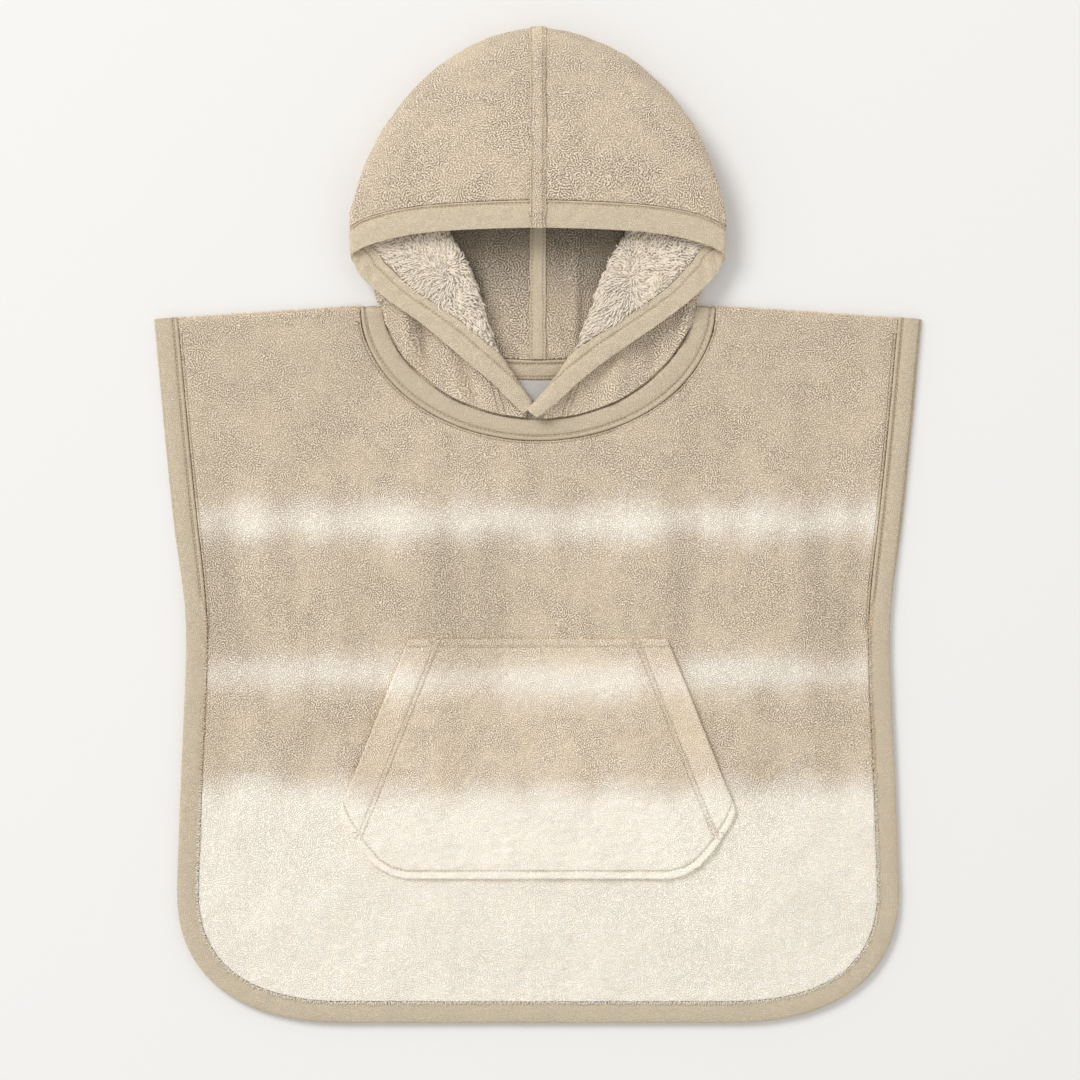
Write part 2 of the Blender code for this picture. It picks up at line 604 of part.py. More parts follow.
def hood_surface(lapel_rows, side):
    """Middle surface of one half of the hood, from the centre seam to the throat."""
    crown = [crown_section(row) for row in row_dicts(CROWN_COLUMNS, CROWN_ROWS)]
    corner = [corner_section(row) for row in row_dicts(CORNER_COLUMNS, CORNER_ROWS)]
    lapel = [lapel_section(row) for row in row_dicts(LAPEL_COLUMNS, lapel_rows)]
    sections = np.array(crown + corner + lapel)
    divisions = [2] * (len(crown) - 1) + [1] * (len(corner) + 1) + [2] * (len(lapel) - 1)
    surface = smooth_rows(sections, divisions, mirror_start=True)
    back = surface[:, -BACK_STEPS - 1:]
    lying = np.clip((back[..., 1] - BACK_FOLD_FROM_Y) / BACK_FOLD_EASE, 0, 1)
    lying = lying * (back[..., 2] < BACK_LAYER_Z + SEAM_GAP / 10)
    for fold in row_dicts(BACK_FOLD_COLUMNS, BACK_FOLD_ROWS):
        away = (side * back[..., 0] - fold["x"]) / fold["half_width"]
        lying_fold = fold["height"] * np.exp(-away ** 2) * lying
        back[:, :-1, 2] += lying_fold[:, :-1] * np.linspace(0, 1, BACK_STEPS)
    return surface * np.array([side, 1.0, 1.0])


def build_hood():
    """Both hood halves, the band round the face opening and the centre seam's tapes."""
    left = hood_surface(LEFT_LAPEL_ROWS, -1)
    right = hood_surface(RIGHT_LAPEL_ROWS, 1)
    for name, surface, side in (("hood_left", left, -1), ("hood_right", right, 1)):
        half = surface[:, BAND_STEPS:].copy()
        half[0, :, 0] += side * SEAM_GAP / 2
        seam_way = unit(half[:, 3] - half[:, 0])[:, None, :]
        half[:, :3] += seam_way * SEAM_GAP * np.array([1.0, 0.7, 0.35])[:, None]
        cloth_wall(name, half, TERRY, "terry")
    band = np.concatenate([left[::-1, : BAND_STEPS + 1], right[1:, : BAND_STEPS + 1]])
    cloth_wall("hood_band", band, TERRY, "binding")

    centre = right[0]
    rise = TERRY / 2 + SEAM_GAP + TAPE / 2
    top_end = BAND_STEPS + CROWN_STEPS + 3 * TURN_STEPS + LAYER_STEPS
    build_tape("hood_tape_outer", centre[: top_end + 1], rise)
    build_tape("hood_tape_inner", centre[-BACK_STEPS - 1:], rise)


def build_tape(name, route, rise):
    """A strip of tape along the centre seam, moved out from the cloth beneath it."""
    along = unit(np.gradient(route, axis=0))
    out = np.cross(np.array([1.0, 0.0, 0.0]), along)
    out = out * np.sign(out[0, 2])
    across = TAPE_WIDTH * np.linspace(-0.5, 0.5, 3)
    grid = (route + out * rise)[:, None, :] + np.array([1.0, 0.0, 0.0]) * across[:, None]
    cloth_wall(name, grid, TAPE, "tape")


def main():
    """Clear the scene's objects and build the poncho."""
    for old in list(bpy.data.objects):
        bpy.data.objects.remove(old, do_unlink=True)
    build_body()
    build_neck_binding()
    build_pocket()
    build_label()
    build_hood()


main()
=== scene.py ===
"""Looks of a hooded bath poncho in dyed terry towelling, laid flat on its back.

Every piece is a wall of cloth worked out from a short table of sizes.  Tables and
curves are in millimetres in the garment's own frame: +X to the right, +Y toward the
hood, +Z up.  Meshes are in metres.
"""

import bpy
import numpy as np
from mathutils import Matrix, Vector


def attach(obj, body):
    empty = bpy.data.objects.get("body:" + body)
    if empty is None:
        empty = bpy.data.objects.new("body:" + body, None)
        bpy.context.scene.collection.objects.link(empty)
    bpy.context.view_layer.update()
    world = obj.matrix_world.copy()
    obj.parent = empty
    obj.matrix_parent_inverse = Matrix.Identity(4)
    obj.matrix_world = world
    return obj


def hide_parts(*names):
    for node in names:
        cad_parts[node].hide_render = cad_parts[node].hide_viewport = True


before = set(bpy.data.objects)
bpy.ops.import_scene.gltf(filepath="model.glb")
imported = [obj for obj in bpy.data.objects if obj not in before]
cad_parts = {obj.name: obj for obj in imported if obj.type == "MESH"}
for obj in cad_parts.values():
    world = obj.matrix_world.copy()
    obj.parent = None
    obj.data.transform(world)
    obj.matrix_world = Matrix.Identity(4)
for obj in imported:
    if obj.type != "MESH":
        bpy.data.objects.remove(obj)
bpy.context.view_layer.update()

bl_info = {
    "name": "Bath Poncho",
    "version": (1, 0, 0),
    "blender": (4, 5, 0),
    "location": "3D View > Sidebar > Poncho",
    "description": "Makes the cloth, seams, pile and stage of a hooded bath poncho",
    "category": "Add Mesh",
}

MM = 0.001
RIM_STEPS = 3               # points round the rim of a wall of cloth
FAR_FROM_SEAM = 99.0        # stands for cloth with no stitches near it, in millimetres
ACROSS, UP = np.array([1.0, 0.0, 0.0]), np.array([0.0, 0.0, 1.0])
MIRROR = np.array([-1.0, 1.0, 1.0])

# ---------------------------------------------------------------- sizes of the cut
TERRY = 3.0                 # thickness of one layer of terry
SEAM_GAP = 0.3              # clearance between pieces that are sewn together
LAYER_RISE = TERRY + SEAM_GAP           # from one layer to the next
BACK_NECK_GAP = 0.25        # and where the back of the hood meets the neck binding
HOOD_NECK_GAP = 1.6
SHOULDER_Y = 171.7          # shoulder point beside the neck
SHOULDER_END_Y = 162.0      # shoulder point at the side edge
SHOULDER_ROUND = TERRY + SEAM_GAP / 2   # outer radius of the fold there, and its axis's height
SHOULDER_NECK_X = 139.8     # where the fold begins beside the neck
SHOULDER_GRID = (70, 15)    # points of the fold along the shoulder and round it
SHOULDER_LEAD = np.array([9.0, 6.0, 3.0])   # how far it runs on under the panels
NECK_SIDE, NECK_SIDE_EASE = 133.5, 5.0     # the panels are drawn in for it out from here
HEM_Y = -391.7
BINDING_WIDTH = 16.5
EDGE_SHARE, NECK_SHARE = 0.98, 0.95     # area of a curved binding to its length by width
ARMHOLE_END_Y = -68.0
BACK_SHOW, BACK_SHOW_EASE = 2.0, 60.0      # how far the back's binding peeps out above it
RIDGE_END_Y, RIDGE_EASE = -86.0, 30.0      # the edge stitching is lost in the pile below

CORNER_SIZE = (137.0, 106.7)
CORNER_FULLNESS = 2.4
COLUMN_SPREAD = 0.3          # a lower power spreads a panel's columns out sooner
SIDE_STEPS, CORNER_STEPS, HEM_STEPS = 12, 10, 4
FRONT_NECK_STEPS, BACK_NECK_STEPS = 22, 16
FRONT_SHOULDER_STEPS, BACK_SHOULDER_STEPS = 5, 3
BODY_FINENESS, NECK_FINENESS = 7, 6
SIDE_COLUMNS = ("y", "half_width")
SIDE_ROWS = (
    (SHOULDER_END_Y, 300.0), (51.0, 290.0), (-28.0, 281.5), (ARMHOLE_END_Y, 275.8),
    (-87.0, 275.6), (-156.0, 279.0), (-201.0, 281.0), (-285.0, 284.0),
)
NECK = {                    # half width, lowest y and power of each neck curve
    "front_body": (139.4, 66.5, 1.0),
    "front_hood": (122.5, 82.7, 1.14),
    "back_body": (139.4, 114.2, 1.0),
    "back_hood": (123.6, 129.9, 1.0),
}
BACK_LAYER_Z = TERRY / 2
FRONT_LAYER_Z = BACK_LAYER_Z + LAYER_RISE
WAVE_COLUMNS = ("x", "half_width", "height", "y", "reach")
WAVE_ROWS = (
    (-212.0, 26.0, 1.2, -60.0, 190.0),
    (-150.0, 22.0, 1.0, -120.0, 160.0),
    (-84.0, 20.0, 1.1, -20.0, 110.0),
    (-40.0, 24.0, 0.8, -200.0, 150.0),
    (50.0, 24.0, 1.1, -40.0, 130.0),
    (105.0, 20.0, 0.9, -170.0, 150.0),
    (168.0, 26.0, 1.3, -90.0, 190.0),
)
POCKET_ROWS = (             # half width and y, from the top corner down
    (101.5, -89.8), (104.5, -96.0), (126.0, -150.0), (148.0, -205.0), (153.5, -217.0),
    (155.8, -225.0), (153.5, -233.0), (139.5, -255.0), (128.0, -268.0),
    (117.0, -275.0), (104.0, -278.3),
)
POCKET_CUT = (2 * 155.8, 188.5)
POCKET_GRID = (120, 161)
POCKET_MOUTH_LIFT = 2.4
POCKET_SINK = 0.35          # how deep its stitches are drawn in
MOUTH_SHARPNESS = 6
POCKET_STITCH_IN = 6.0      # the pocket's edge stitching, in from its edge
MOUTH_HEM = 20.5            # depth of the hem along each hand opening
MOUTH_HEM_PAIR = 3.6        # distance between its two rows of stitches
MOUTH_RUN_ON, MOUTH_END = 14.0, 16.0    # they run on past the corner, and fade out here
LOWER_LEAD = 8.0            # the lower edge is led straight on past its corner
# Soft rises of the pocket's face: height, place and half width.
POCKET_DITCH, POCKET_ROLL = (-0.6, 0.0, 1.3), (0.45, 1.3, 1.4)
HEM_RIDGE = (0.25, MOUTH_HEM_PAIR / 2, 1.0)
FRONT_DIP = (-0.8, 0.0, 4.0)    # and of the front's, beside its bindings

LABEL_SIZE = (33.0, 27.0)
LABEL_GRID = (41, 33)
LABEL_THICKNESS = 0.5
LABEL_ROLL, LABEL_CURL = 0.5, 0.25
LABEL_X = -1.6
TAPE_WIDTH = 12.7
TAPE = 1.0
TAPE_STITCH_IN, TAPE_SINK = 1.9, 0.75
TAPE_SWAY, TAPE_SWAY_SIZE = 0.35, 16.0
TAPE_COLUMNS = 25

# A binding's section, from its inner lower edge round to its upper inner edge.
# ridge: height with the stitched ridge along the inner edge.  plain: without it.
BINDING_COLUMNS = ("across", "ridge", "plain")
BINDING_ROWS = (
    (0.3, 0.0, 0.0), (5.0, 0.0, 0.0), (10.5, 0.0, 0.0), (15.2, 0.05, 0.05),
    (16.1, 0.35, 0.35), (16.5, 1.2, 1.2), (16.3, 2.1, 2.1), (15.6, 2.7, 2.7),
    (14.2, 3.15, 3.15), (11.5, 3.5, 3.5), (8.5, 3.55, 3.5), (6.2, 3.35, 3.4),
    (4.9, 2.95, 3.3), (4.2, 2.45, 3.2), (3.6, 2.1, 3.1), (3.1, 2.45, 3.05),
    (2.6, 3.2, 3.0), (1.9, 3.7, 2.9), (1.1, 3.75, 2.7), (0.45, 3.2, 2.3),
    (0.0, 1.8, 1.2),
)
BINDING_THICKNESS = TERRY + 0.2     # thickness that the section above is drawn for
BINDING_DITCH = 3.6         # the stitches lie in this line, across from the inner edge
BACK_NECK_DITCH = 14.0      # and in this second one on the back of the neck
BESIDE_BINDING = 1.6        # a row in the terry, this far from the binding's inner edge
DITCH_RISE = 2.6            # height of the stitches above the binding's underside
DITCH_DEPTH, DITCH_WIDTH = 0.7, 0.7        # of the line pressed in by other stitches
PUCKER_OUT, PUCKER_DOWN, PUCKER_EASE = 150.0, 270.0, 30.0  # it puckers round the corners
PUCKER_HEIGHT = 0.28

# Beads of thread and loops of pile: rings from end to end.
STITCH_RINGS = (            # place along the bead, girth, and lift out of the cloth
    (-0.5, -0.3, 0.3, 0.5), (0.45, 1.0, 1.0, 0.45), (-0.9, 0.25, 0.25, -0.9),
)
LOOP_TAPER = (0.8, 1.0, 0.95, 0.55)
EDGE_PILE_RISE, SHOULDER_PILE_Z = 3.35, 4.0     # where rows of loose loops are rooted
EDGE_PILE_SPACING, SHOULDER_PILE_SPACING = 0.55, 0.30

# Soft noise in the shapes: height, size and seed of each layer.  Lumps are told their
# height and their first seed where they are used.
LUMP_NOISE = ((0.5, 34.0, 0), (0.35, 15.0, 1), (0.3, 7.0, 2))
BINDING_NOISE = ((0.10, 9.0, 5), (0.07, 4.2, 6))
PUCKER_SIZE, PUCKER_SEED = 9.0, 8
BAND_NOISE = ((0.22, 11.0, 91), (0.12, 5.0, 92))
TAPE_NOISE = ((0.12, 5.0, 3),)
SWIRL_NOISE = ((0.40, 34.0, 1), (0.2, 14.0, 2))
SHOULDER_LUMP = 0.35
FRONT_SEED, POCKET_SEED, LEFT_SEED, RIGHT_SEED = 11, 31, 50, 70
EDGE_PILE_SEED, SHOULDER_PILE_SEEDS, LOOP_SEED = 21, (23, 24), 25
TOP_TAPE_SEED, INNER_TAPE_SEED = 81, 82

# ---------------------------------------------------------------- shades of the cloth
# Pale bands of the dye, in metres: middle, half height and strength.
DYE_BANDS = ((0.003, 0.0150, 1.0), (-0.117, 0.0142, 0.88))
DYE_FOOT = (0.184, 0.220)   # the undyed foot begins and is all of it this far down
# Painted shade in the gaps of undyed and of pressed pile, and painted highlights on the tips of
# undyed pile.
PALE_GAP_SHADE = (0.91, 0.86, 0.77, 1.0)     # shade of the gaps in undyed pile
PALE_TIP_HIGHLIGHT = (1.20, 1.19, 1.17, 1.0)
PRESSED_GAP_SHADE = (0.90, 0.86, 0.79, 1.0)
# Painted shade in the gaps and painted highlights on the tips: share of the contrast and tint, in
# short and in long pile.
GAP_SHADES = ((-0.62, (1.0, 0.945, 0.84)), (-1.30, (1.0, 0.89, 0.75)))
TIP_HIGHLIGHTS = ((0.22, (0.985, 1.0, 1.035)), (0.52, (0.975, 1.0, 1.06)))
SEAM_SHADE_TINT = (1.10, 1.0, 0.84)
HOLE_PITCH = 3.1
POCKET_DYE_SHIFT = 0.0055              # the pocket was dyed a little lower
# Painted shade on the back wall inside the hood, deepening toward the crown.
HOOD_SHADE_SPAN = (0.130, 0.250)   # the back wall inside the hood darkens between these

# ---------------------------------------------------------------- sizes of the hood
PATTERN_CENTRE = (0.0, 40.0)    # the hood's pile pattern falls away from here
HOOD_CUT = (330.0, 400.0)
DRAWN_BACK = 6              # columns of the cloth that draw back from the band
BACK_FOLD_COLUMNS = ("x", "half_width", "height")
BACK_FOLD_ROWS = (
    (-74.0, 12.0, 4.0), (-40.0, 9.0, 2.8), (31.0, 8.0, 3.6), (66.0, 12.0, 4.0),
)
# Hollows of the back wall that get painted shade: middle x and width of each.
VALLEY_ROWS = ((-59, 8), (-49, 2.0), (-43.5, 1.6), (53, 8), (33, 2.4))
BACK_FOLD_FROM_Y, BACK_FOLD_EASE = 150.0, 60.0
CROWN_BULGE, CROWN_BULGE_LENGTH = 6.0, 100.0
CROWN_DEPTH = 22.0
SIDE_FOLD_OUT = 146.2
CORNER_SWELL = 2.2          # how far the band swells out under its corners
FULLER_SIDE = 2.4           # how far the right half of the crown lies further out
FULLER_ANGLE, FULLER_SPREAD = 45.0, 24.0   # degrees round the middle of the hood
FULLER_FROM, FULLER_EASE = 60.0, 70.0      # and the way out to where it is all of it
SIDE_FOLD_RADIUS = 3.75     # of each of the three folds in a folded-in side
UNDER_SET_BACK = 4.0        # the lowest of them lies this far in from the topmost
HOOD_MIDDLE = (0.0, 238.0)
CORNER_DRIFT = 3.0          # the topmost slides in by this a step where the band turns over
EDGE_SET_BACK = 0.4         # and there the free edge lies this far inside the fold
CROWN_COLUMNS = ("edge_out", "edge_y", "edge_z", "seam_out", "seam_y", "seam_z",
                 "fold_out", "fold_y", "fold_z", "open", "tuck_out", "tuck_y", "neck_out")
CROWN_ROWS = (
    (0.0, 232.8, 34.0, 0.0, 254.3, 36.5, 0.0, 389.8, 18.0, 1.0, 0.0, 380.0, 0.0),
    (22.0, 232.4, 33.7, 21.5, 254.0, 36.2, 41.0, 380.8, 18.0, 1.0, 39.0, 372.0, 24.0),
    (43.3, 231.8, 33.0, 43.0, 253.2, 35.5, 76.5, 360.2, 18.0, 1.0, 70.0, 352.0, 46.0),
    (66.0, 230.8, 31.6, 66.5, 252.0, 34.2, 106.5, 330.5, 18.0, 1.0, 100.0, 322.0, 64.0),
    (88.2, 229.1, 30.0, 91.0, 250.2, 32.2, 132.0, 297.0, 17.6, 0.65, 122.0, 292.0, 77.0),
    (107.0, 226.2, 28.2, 110.0, 247.3, 29.8, 139.0, 269.0, 15.8, 0.0, 118.0, 280.0, 87.0),
    (123.0, 222.3, 26.6, 126.0, 242.5, 27.6, 143.4, 255.0, 14.0, 0.0, 98.0, 270.0, 94.0),
    (136.0, 218.0, 25.2, 137.5, 238.0, 25.0, 145.4, 247.0, 12.95, 0.0, 85.0, 259.0, 99.5),
)
CORNER_COLUMNS = ("turn", "edge_y", "seam_y", "fold_y", "tuck_out", "tuck_y",
                  "under_out", "under_y", "neck_out", "neck_y", "neck_z")
CORNER_ROWS = (
    (90.0, 214.8, 234.6, 243.5, 81.5, 252.0, 139.5, 230.0, 104.5, 150.5, 1.5),
    (45.0, 213.2, 233.4, 241.0, 79.5, 248.0, 137.0, 218.5, 107.5, 153.0, 1.5),
    (0.0, 211.8, 232.2, 238.0, 77.5, 244.0, 133.5, 206.0, 110.8, 156.0, 1.5),
    (-45.0, 209.0, 230.0, 234.5, 76.0, 240.5, 130.0, 194.0, 115.0, 160.5, 1.8),
    (-90.0, 205.0, 226.5, 230.5, 74.0, 237.0, 126.2, 180.5, 119.0, 166.0, 2.8),
)
LAPEL_COLUMNS = ("edge_out", "edge_y", "edge_z", "roll_out", "roll_y", "roll_z",
                 "roll_radius", "band", "reach", "swell", "neck_out", "neck_z")
TOP_LAPEL_ROW = (140.2, 196.9, 17.6, 71.5, 230.0, 13.6, 3.9, 21.5, 0.80, 12.5, 118.6, 4.8)
LEFT_LAPEL_ROWS = (
    TOP_LAPEL_ROW,
    (118.1, 176.8, 19.6, 56.5, 203.0, 16.4, 5.2, 21.5, 0.50, 4.0, 116.0, 5.0),
    (92.9, 159.1, 19.4, 48.0, 181.5, 16.6, 5.6, 21.5, 0.30, 0.0, 105.5, 5.2),
    (66.1, 137.0, 17.4, 42.4, 162.5, 15.4, 5.0, 20.5, 0.25, 0.0, 83.5, 5.2),
    (52.0, 124.8, 15.6, 34.6, 142.5, 13.6, 4.2, 15.5, 0.25, 0.0, 65.4, 5.3),
    (37.0, 112.6, 13.2, 22.6, 120.8, 10.8, 3.2, 9.0, 0.25, 0.0, 45.7, 5.6),
    (24.0, 99.6, 11.4, 13.0, 107.2, 9.2, 2.5, 5.5, 0.25, 0.0, 27.5, 5.8),
    (11.5, 87.4, 9.6, 3.6, 94.2, 7.9, 2.0, 3.5, 0.25, 0.0, 9.5, 6.0),
)
RIGHT_LAPEL_ROWS = (
    TOP_LAPEL_ROW,
    (121.5, 178.0, 19.6, 57.5, 205.0, 16.4, 5.2, 21.5, 0.50, 4.0, 116.0, 5.0),
    (96.8, 159.1, 19.6, 48.6, 185.0, 16.8, 5.6, 21.5, 0.30, 0.0, 105.5, 5.2),
    (70.9, 141.3, 18.4, 40.6, 161.8, 16.2, 5.0, 20.5, 0.25, 0.0, 83.5, 5.2),
    (50.4, 126.8, 17.6, 32.0, 141.6, 15.4, 4.2, 15.0, 0.25, 0.0, 65.4, 5.2),
    (30.7, 111.0, 17.8, 16.5, 119.0, 15.4, 3.2, 9.0, 0.25, 0.0, 45.7, 5.6),
    (14.2, 95.5, 17.6, 5.0, 103.5, 16.2, 2.5, 5.5, 0.25, 0.0, 27.5, 6.4),
    (-1.0, 84.0, 17.8, -8.2, 90.0, 16.0, 2.6, 3.0, 0.25, 0.0, 4.5, 8.0),
)
SWELL_WAY = (1.0, 0.25, 0.17)
BAND_STEPS, CROWN_STEPS, LAYER_STEPS, TURN_STEPS, BACK_STEPS = 3, 4, 2, 4, 6

# How many times finer each part of the hood is made than the steps above.
CROWN_ROW_FINENESS, CORNER_FINENESS = 10, 4
BAND_FINENESS, CROWN_FINENESS, FOLD_FINENESS, BACK_FINENESS = 8, 11, 3, 6
ROW_EASE = 9                # rows over which the crown's sections are blended

# Rows and columns of the finished surface, counted from the centre seam and the free
# edge, and those of the terry, which are counted from the band's seam.
CROWN_END = (len(CROWN_ROWS) - 1) * CROWN_ROW_FINENESS
LAPEL_START = CROWN_END + len(CORNER_ROWS) * CORNER_FINENESS
BAND_END = BAND_STEPS * BAND_FINENESS
ARCH_END = CROWN_STEPS * CROWN_FINENESS
ROLL_START = ARCH_END + (LAYER_STEPS + TURN_STEPS) * FOLD_FINENESS
ROLL_END = ROLL_START + TURN_STEPS * FOLD_FINENESS
BACK_COLUMNS = BACK_STEPS * BACK_FINENESS + 1
UNDER_CREASES_FROM, CROWN_CREASES_TO = LAPEL_START - 8, LAPEL_START - 10
CROWN_CREASE_FADE = (ARCH_END - 6, -16.0)
LINED_FROM, LINED_TO = LAPEL_START - 3 * CORNER_FINENESS, ROLL_END - 3
PILE_PATCH = (slice(LAPEL_START - 2 * CORNER_FINENESS, -20), slice(9, ROLL_END - 5))

BAND_ROW_FINENESS = 3       # the band's rows are made finer again
LAPEL_PILE_FOOT = 151.0     # the long pile of the lapels ends at this height
LAPEL_PILE_OUT = 139.0      # and this far from the centre
LAPEL_PILE_COUNT = 1500
LAPEL_CENTRE = np.array([72.0, 195.0, 16.0])    # the pile of a lapel lies out from here
BAND_CUT = 21.5             # width of the band of the face opening as it is cut
BAND_SHEET = 22.0           # and the width passed on for the band, with what its puff takes up
BAND_PLACES = np.array([    # columns of the band, from its free edge, as shares of it
    0.0, 0.014, 0.042, 0.093, 0.163, 0.279, 0.395, 0.512, 0.592, 0.640, 0.662, 0.676, 0.698,
    0.755, 0.832, 0.856, 0.874, 0.893, 0.907, 0.921, 0.94, 0.958, 0.972, 0.986, 1.0])
BAND_DITCH = 2.2            # its stitches lie this far from its seam over the crown
LAPEL_DITCH = 7.0           # and this far beside the lapels
BAND_SINK = 0.45
BAND_THINNER, BAND_PUFF = 0.35, 0.5     # its edges are thinner than terry, its middle puffs
BAND_RIDGE = (0.35, 0.9, DITCH_WIDTH)   # height, distance from the seam and half width

# Creases pressed into the hood: two ends in (x, y), half width and height, which is
# along the outward side.
CREASE_COLUMNS = ("x0", "y0", "x1", "y1", "half_width", "height")
UNDER_CREASE_ROWS = (       # in the outer layer below each lapel
    (-106.0, 178.0, -101.0, 126.0, 6.0, 4.8),
    (-91.0, 162.0, -86.0, 116.0, 5.0, -4.2),
    (-75.0, 146.0, -62.0, 96.0, 6.5, 3.8),
    (-58.0, 128.0, -48.0, 92.0, 4.5, -3.0),
    (118.0, 176.0, 112.0, 134.0, 4.0, 3.4),
    (88.0, 156.0, 92.0, 118.0, 6.0, -3.4),
    (66.0, 138.0, 58.0, 94.0, 7.0, 3.0),
)
CROWN_CREASE_ROWS = (       # beside the centre seam and over the sides
    (28.0, 372.0, 40.0, 312.0, 15.0, -3.4),
    (-26.0, 372.0, -34.0, 300.0, 14.0, -0.9),
    (-70.0, 340.0, -84.0, 272.0, 18.0, 0.9),
    (84.0, 330.0, 96.0, 270.0, 18.0, 0.9),
)
BAND_CREASE_ROWS = tuple(   # radiating in the band below its two corners
    (side * x0, y0, side * x1, y1, half_width, height)
    for side in (-1.0, 1.0) for x0, y0, x1, y1, half_width, height in (
        (141.0, 219.0, 146.0, 204.0, 1.8, -1.7),
        (137.0, 216.0, 142.5, 201.0, 1.8, 1.3),
        (132.0, 213.0, 138.5, 197.0, 2.0, -1.7),
        (126.0, 208.0, 133.0, 193.0, 2.2, 1.2),
        (120.0, 203.0, 128.0, 188.0, 2.4, -1.3)))
BAND_CREASE_FADE = ((0.66, -0.25), (0.03, 0.2))     # toward its seam and its free edge
THROAT_SEAMS = {            # two rows of stitches on each side of the throat
    "left": (((-37.0, 114.0), (-29.5, 84.0)), ((-32.0, 112.0), (-24.5, 84.0))),
    "right": (((32.0, 112.0), (22.5, 84.0)), ((27.0, 110.0), (18.0, 84.0))),
}

# ---------------------------------------------------------------- sizes of the stage
FLOOR_REACH, FLOOR_Z = 4.0, -0.0002
KEY_SIZE = 3.9
KEY_PLACE = (-4.05, 4.05, 5.7)
CAMERA_PLACE = (0.0016, -0.0118)
SENSOR_WIDTH = 36.0


# ---------------------------------------------------------------- shared helpers
def table(columns, rows):
    """A dict of column arrays for a table given as rows."""
    return dict(zip(columns, np.array(rows, dtype=float).T))


def row_dicts(columns, rows):
    """One dict for each row of a table."""
    return [dict(zip(columns, row)) for row in rows]


def unit(vectors):
    """Vectors scaled to length one."""
    lengths = np.linalg.norm(vectors, axis=-1, keepdims=True)
    return vectors / np.maximum(lengths, 1e-9)


def smooth_slopes(rows):
    """Slope at each row that lets a cubic pass without overshooting any row."""
    steps = np.diff(rows, axis=0)
    before, after = steps[:-1], steps[1:]
    same_way = before * after > 0
    inner = np.where(same_way, 2 * before * after / np.where(same_way, before + after, 1.0), 0.0)
    return np.concatenate([steps[:1], inner, steps[-1:]])


def cubic_rows(rows, slopes, divisions):
    """Rows and the ones between them, by cubics; divisions is the steps in each gap."""
    made = [rows[:1]]
    for start, count in enumerate(divisions):
        part = (np.arange(1, count + 1) / count).reshape(-1, *([1] * (rows.ndim - 1)))
        square, cube = part ** 2, part ** 3
        made.append(rows[start] * (2 * cube - 3 * square + 1)
                    + slopes[start] * (cube - 2 * square + part)
                    + rows[start + 1] * (3 * square - 2 * cube)
                    + slopes[start + 1] * (cube - square))
    return np.concatenate(made)


def round_rows(rows, divisions):
    """Cubics whose slopes are the mean of the gaps on both sides of each row."""
    return cubic_rows(rows, np.gradient(rows, axis=0), divisions)


def hill(values, centre, width):
    """A soft hill: 1 at its centre, and near 0 from two widths away."""
    return np.exp(-((values - centre) / width) ** 2)


def with_rises(rise, *rises):
    """A height with soft hills added; each is its values, height, centre and width."""
    for values, (height, centre, width) in rises:
        rise = rise + height * hill(values, centre, width)
    return rise


def ramp(values, start, length):
    """0 before its start and 1 after its end; a length below 0 turns it round."""
    return np.clip((values - start) / length, 0, 1)


def line(start, end, steps):
    """Points after start, up to and including end."""
    part = (np.arange(1, steps + 1) / steps)[:, None]
    return np.asarray(start) * (1 - part) + np.asarray(end) * part


def cell_crosses(grid):
    """Cross product of the two diagonals of each cell of a grid."""
    return np.cross(grid[1:, 1:] - grid[:-1, :-1], grid[1:, :-1] - grid[:-1, 1:])


def grid_normals(grid):
    """Unit normal at each point of a grid: the mean of the faces around it."""
    faces = unit(cell_crosses(grid))
    total = np.zeros_like(grid)
    for columns in (slice(None, -1), slice(1, None)):
        for rows in (slice(None, -1), slice(1, None)):
            total[rows, columns] += faces
    return -unit(total)


def grid_area(grid):
    """Area of a grid of points."""
    return float(np.linalg.norm(cell_crosses(grid), axis=-1).sum() / 2)


def soft_noise(points, size, seed, waves=20):
    """Smooth noise about 0: a sum of plane waves of one length in all directions."""
    rng = np.random.default_rng(seed)
    ways = unit(rng.normal(size=(waves, 3))) * (2 * np.pi / size)
    phases = rng.uniform(0, 2 * np.pi, waves)
    return np.cos(points @ ways.T + phases).sum(axis=-1) / np.sqrt(waves / 2)


def layered_noise(points, layers, seed=0):
    """Soft noise of several sizes; each layer is its height, size and own seed."""
    return sum(height * soft_noise(points, size, seed + own) for height, size, own in layers)


def lumps(points, seed, height):
    """Soft unevenness of laid towelling: noise at three sizes."""
    return height * layered_noise(points, LUMP_NOISE, seed)


def reach_along(curve):
    """Distance along a curve at each of its points."""
    steps = np.linalg.norm(np.diff(curve, axis=0), axis=1)
    return np.concatenate([[0.0], np.cumsum(steps)])


def curve_length(curve):
    """Length of a curve."""
    return float(np.linalg.norm(np.diff(curve, axis=0), axis=1).sum())


def read_at(at, reach, rows):
    """Rows of values read at distances along a curve."""
    return np.stack([np.interp(at, reach, column) for column in rows.T], axis=1)


def even_places(curve, spacing):
    """Distances along a curve at an even spacing, and those of its own points."""
    reach = reach_along(curve)
    count = max(2, int(round(reach[-1] / spacing)))
    return (np.arange(count) + 0.5) * reach[-1] / count, reach


def resample(curve, spacing):
    """Points at an even spacing along a curve, and the unit way along it at each."""
    at, reach = even_places(curve, spacing)
    behind, points, ahead = (read_at(at + step, reach, curve)
                             for step in (-spacing / 2, 0.0, spacing / 2))
    return points, unit(ahead - behind)


def with_height(flat, height):
    """(x, y) points given their heights."""
    return np.concatenate([flat, np.broadcast_to(height, flat.shape[:-1])[..., None]], axis=-1)


def left_way(curve):
    """Unit way to the left of a flat curve's direction of travel."""
    along = unit(np.gradient(curve, axis=0))
    return np.stack([-along[:, 1], along[:, 0]], axis=1)


def inset(curve, distance):
    """A curve moved to the left of its direction of travel, which is inward."""
    return curve + left_way(curve) * distance


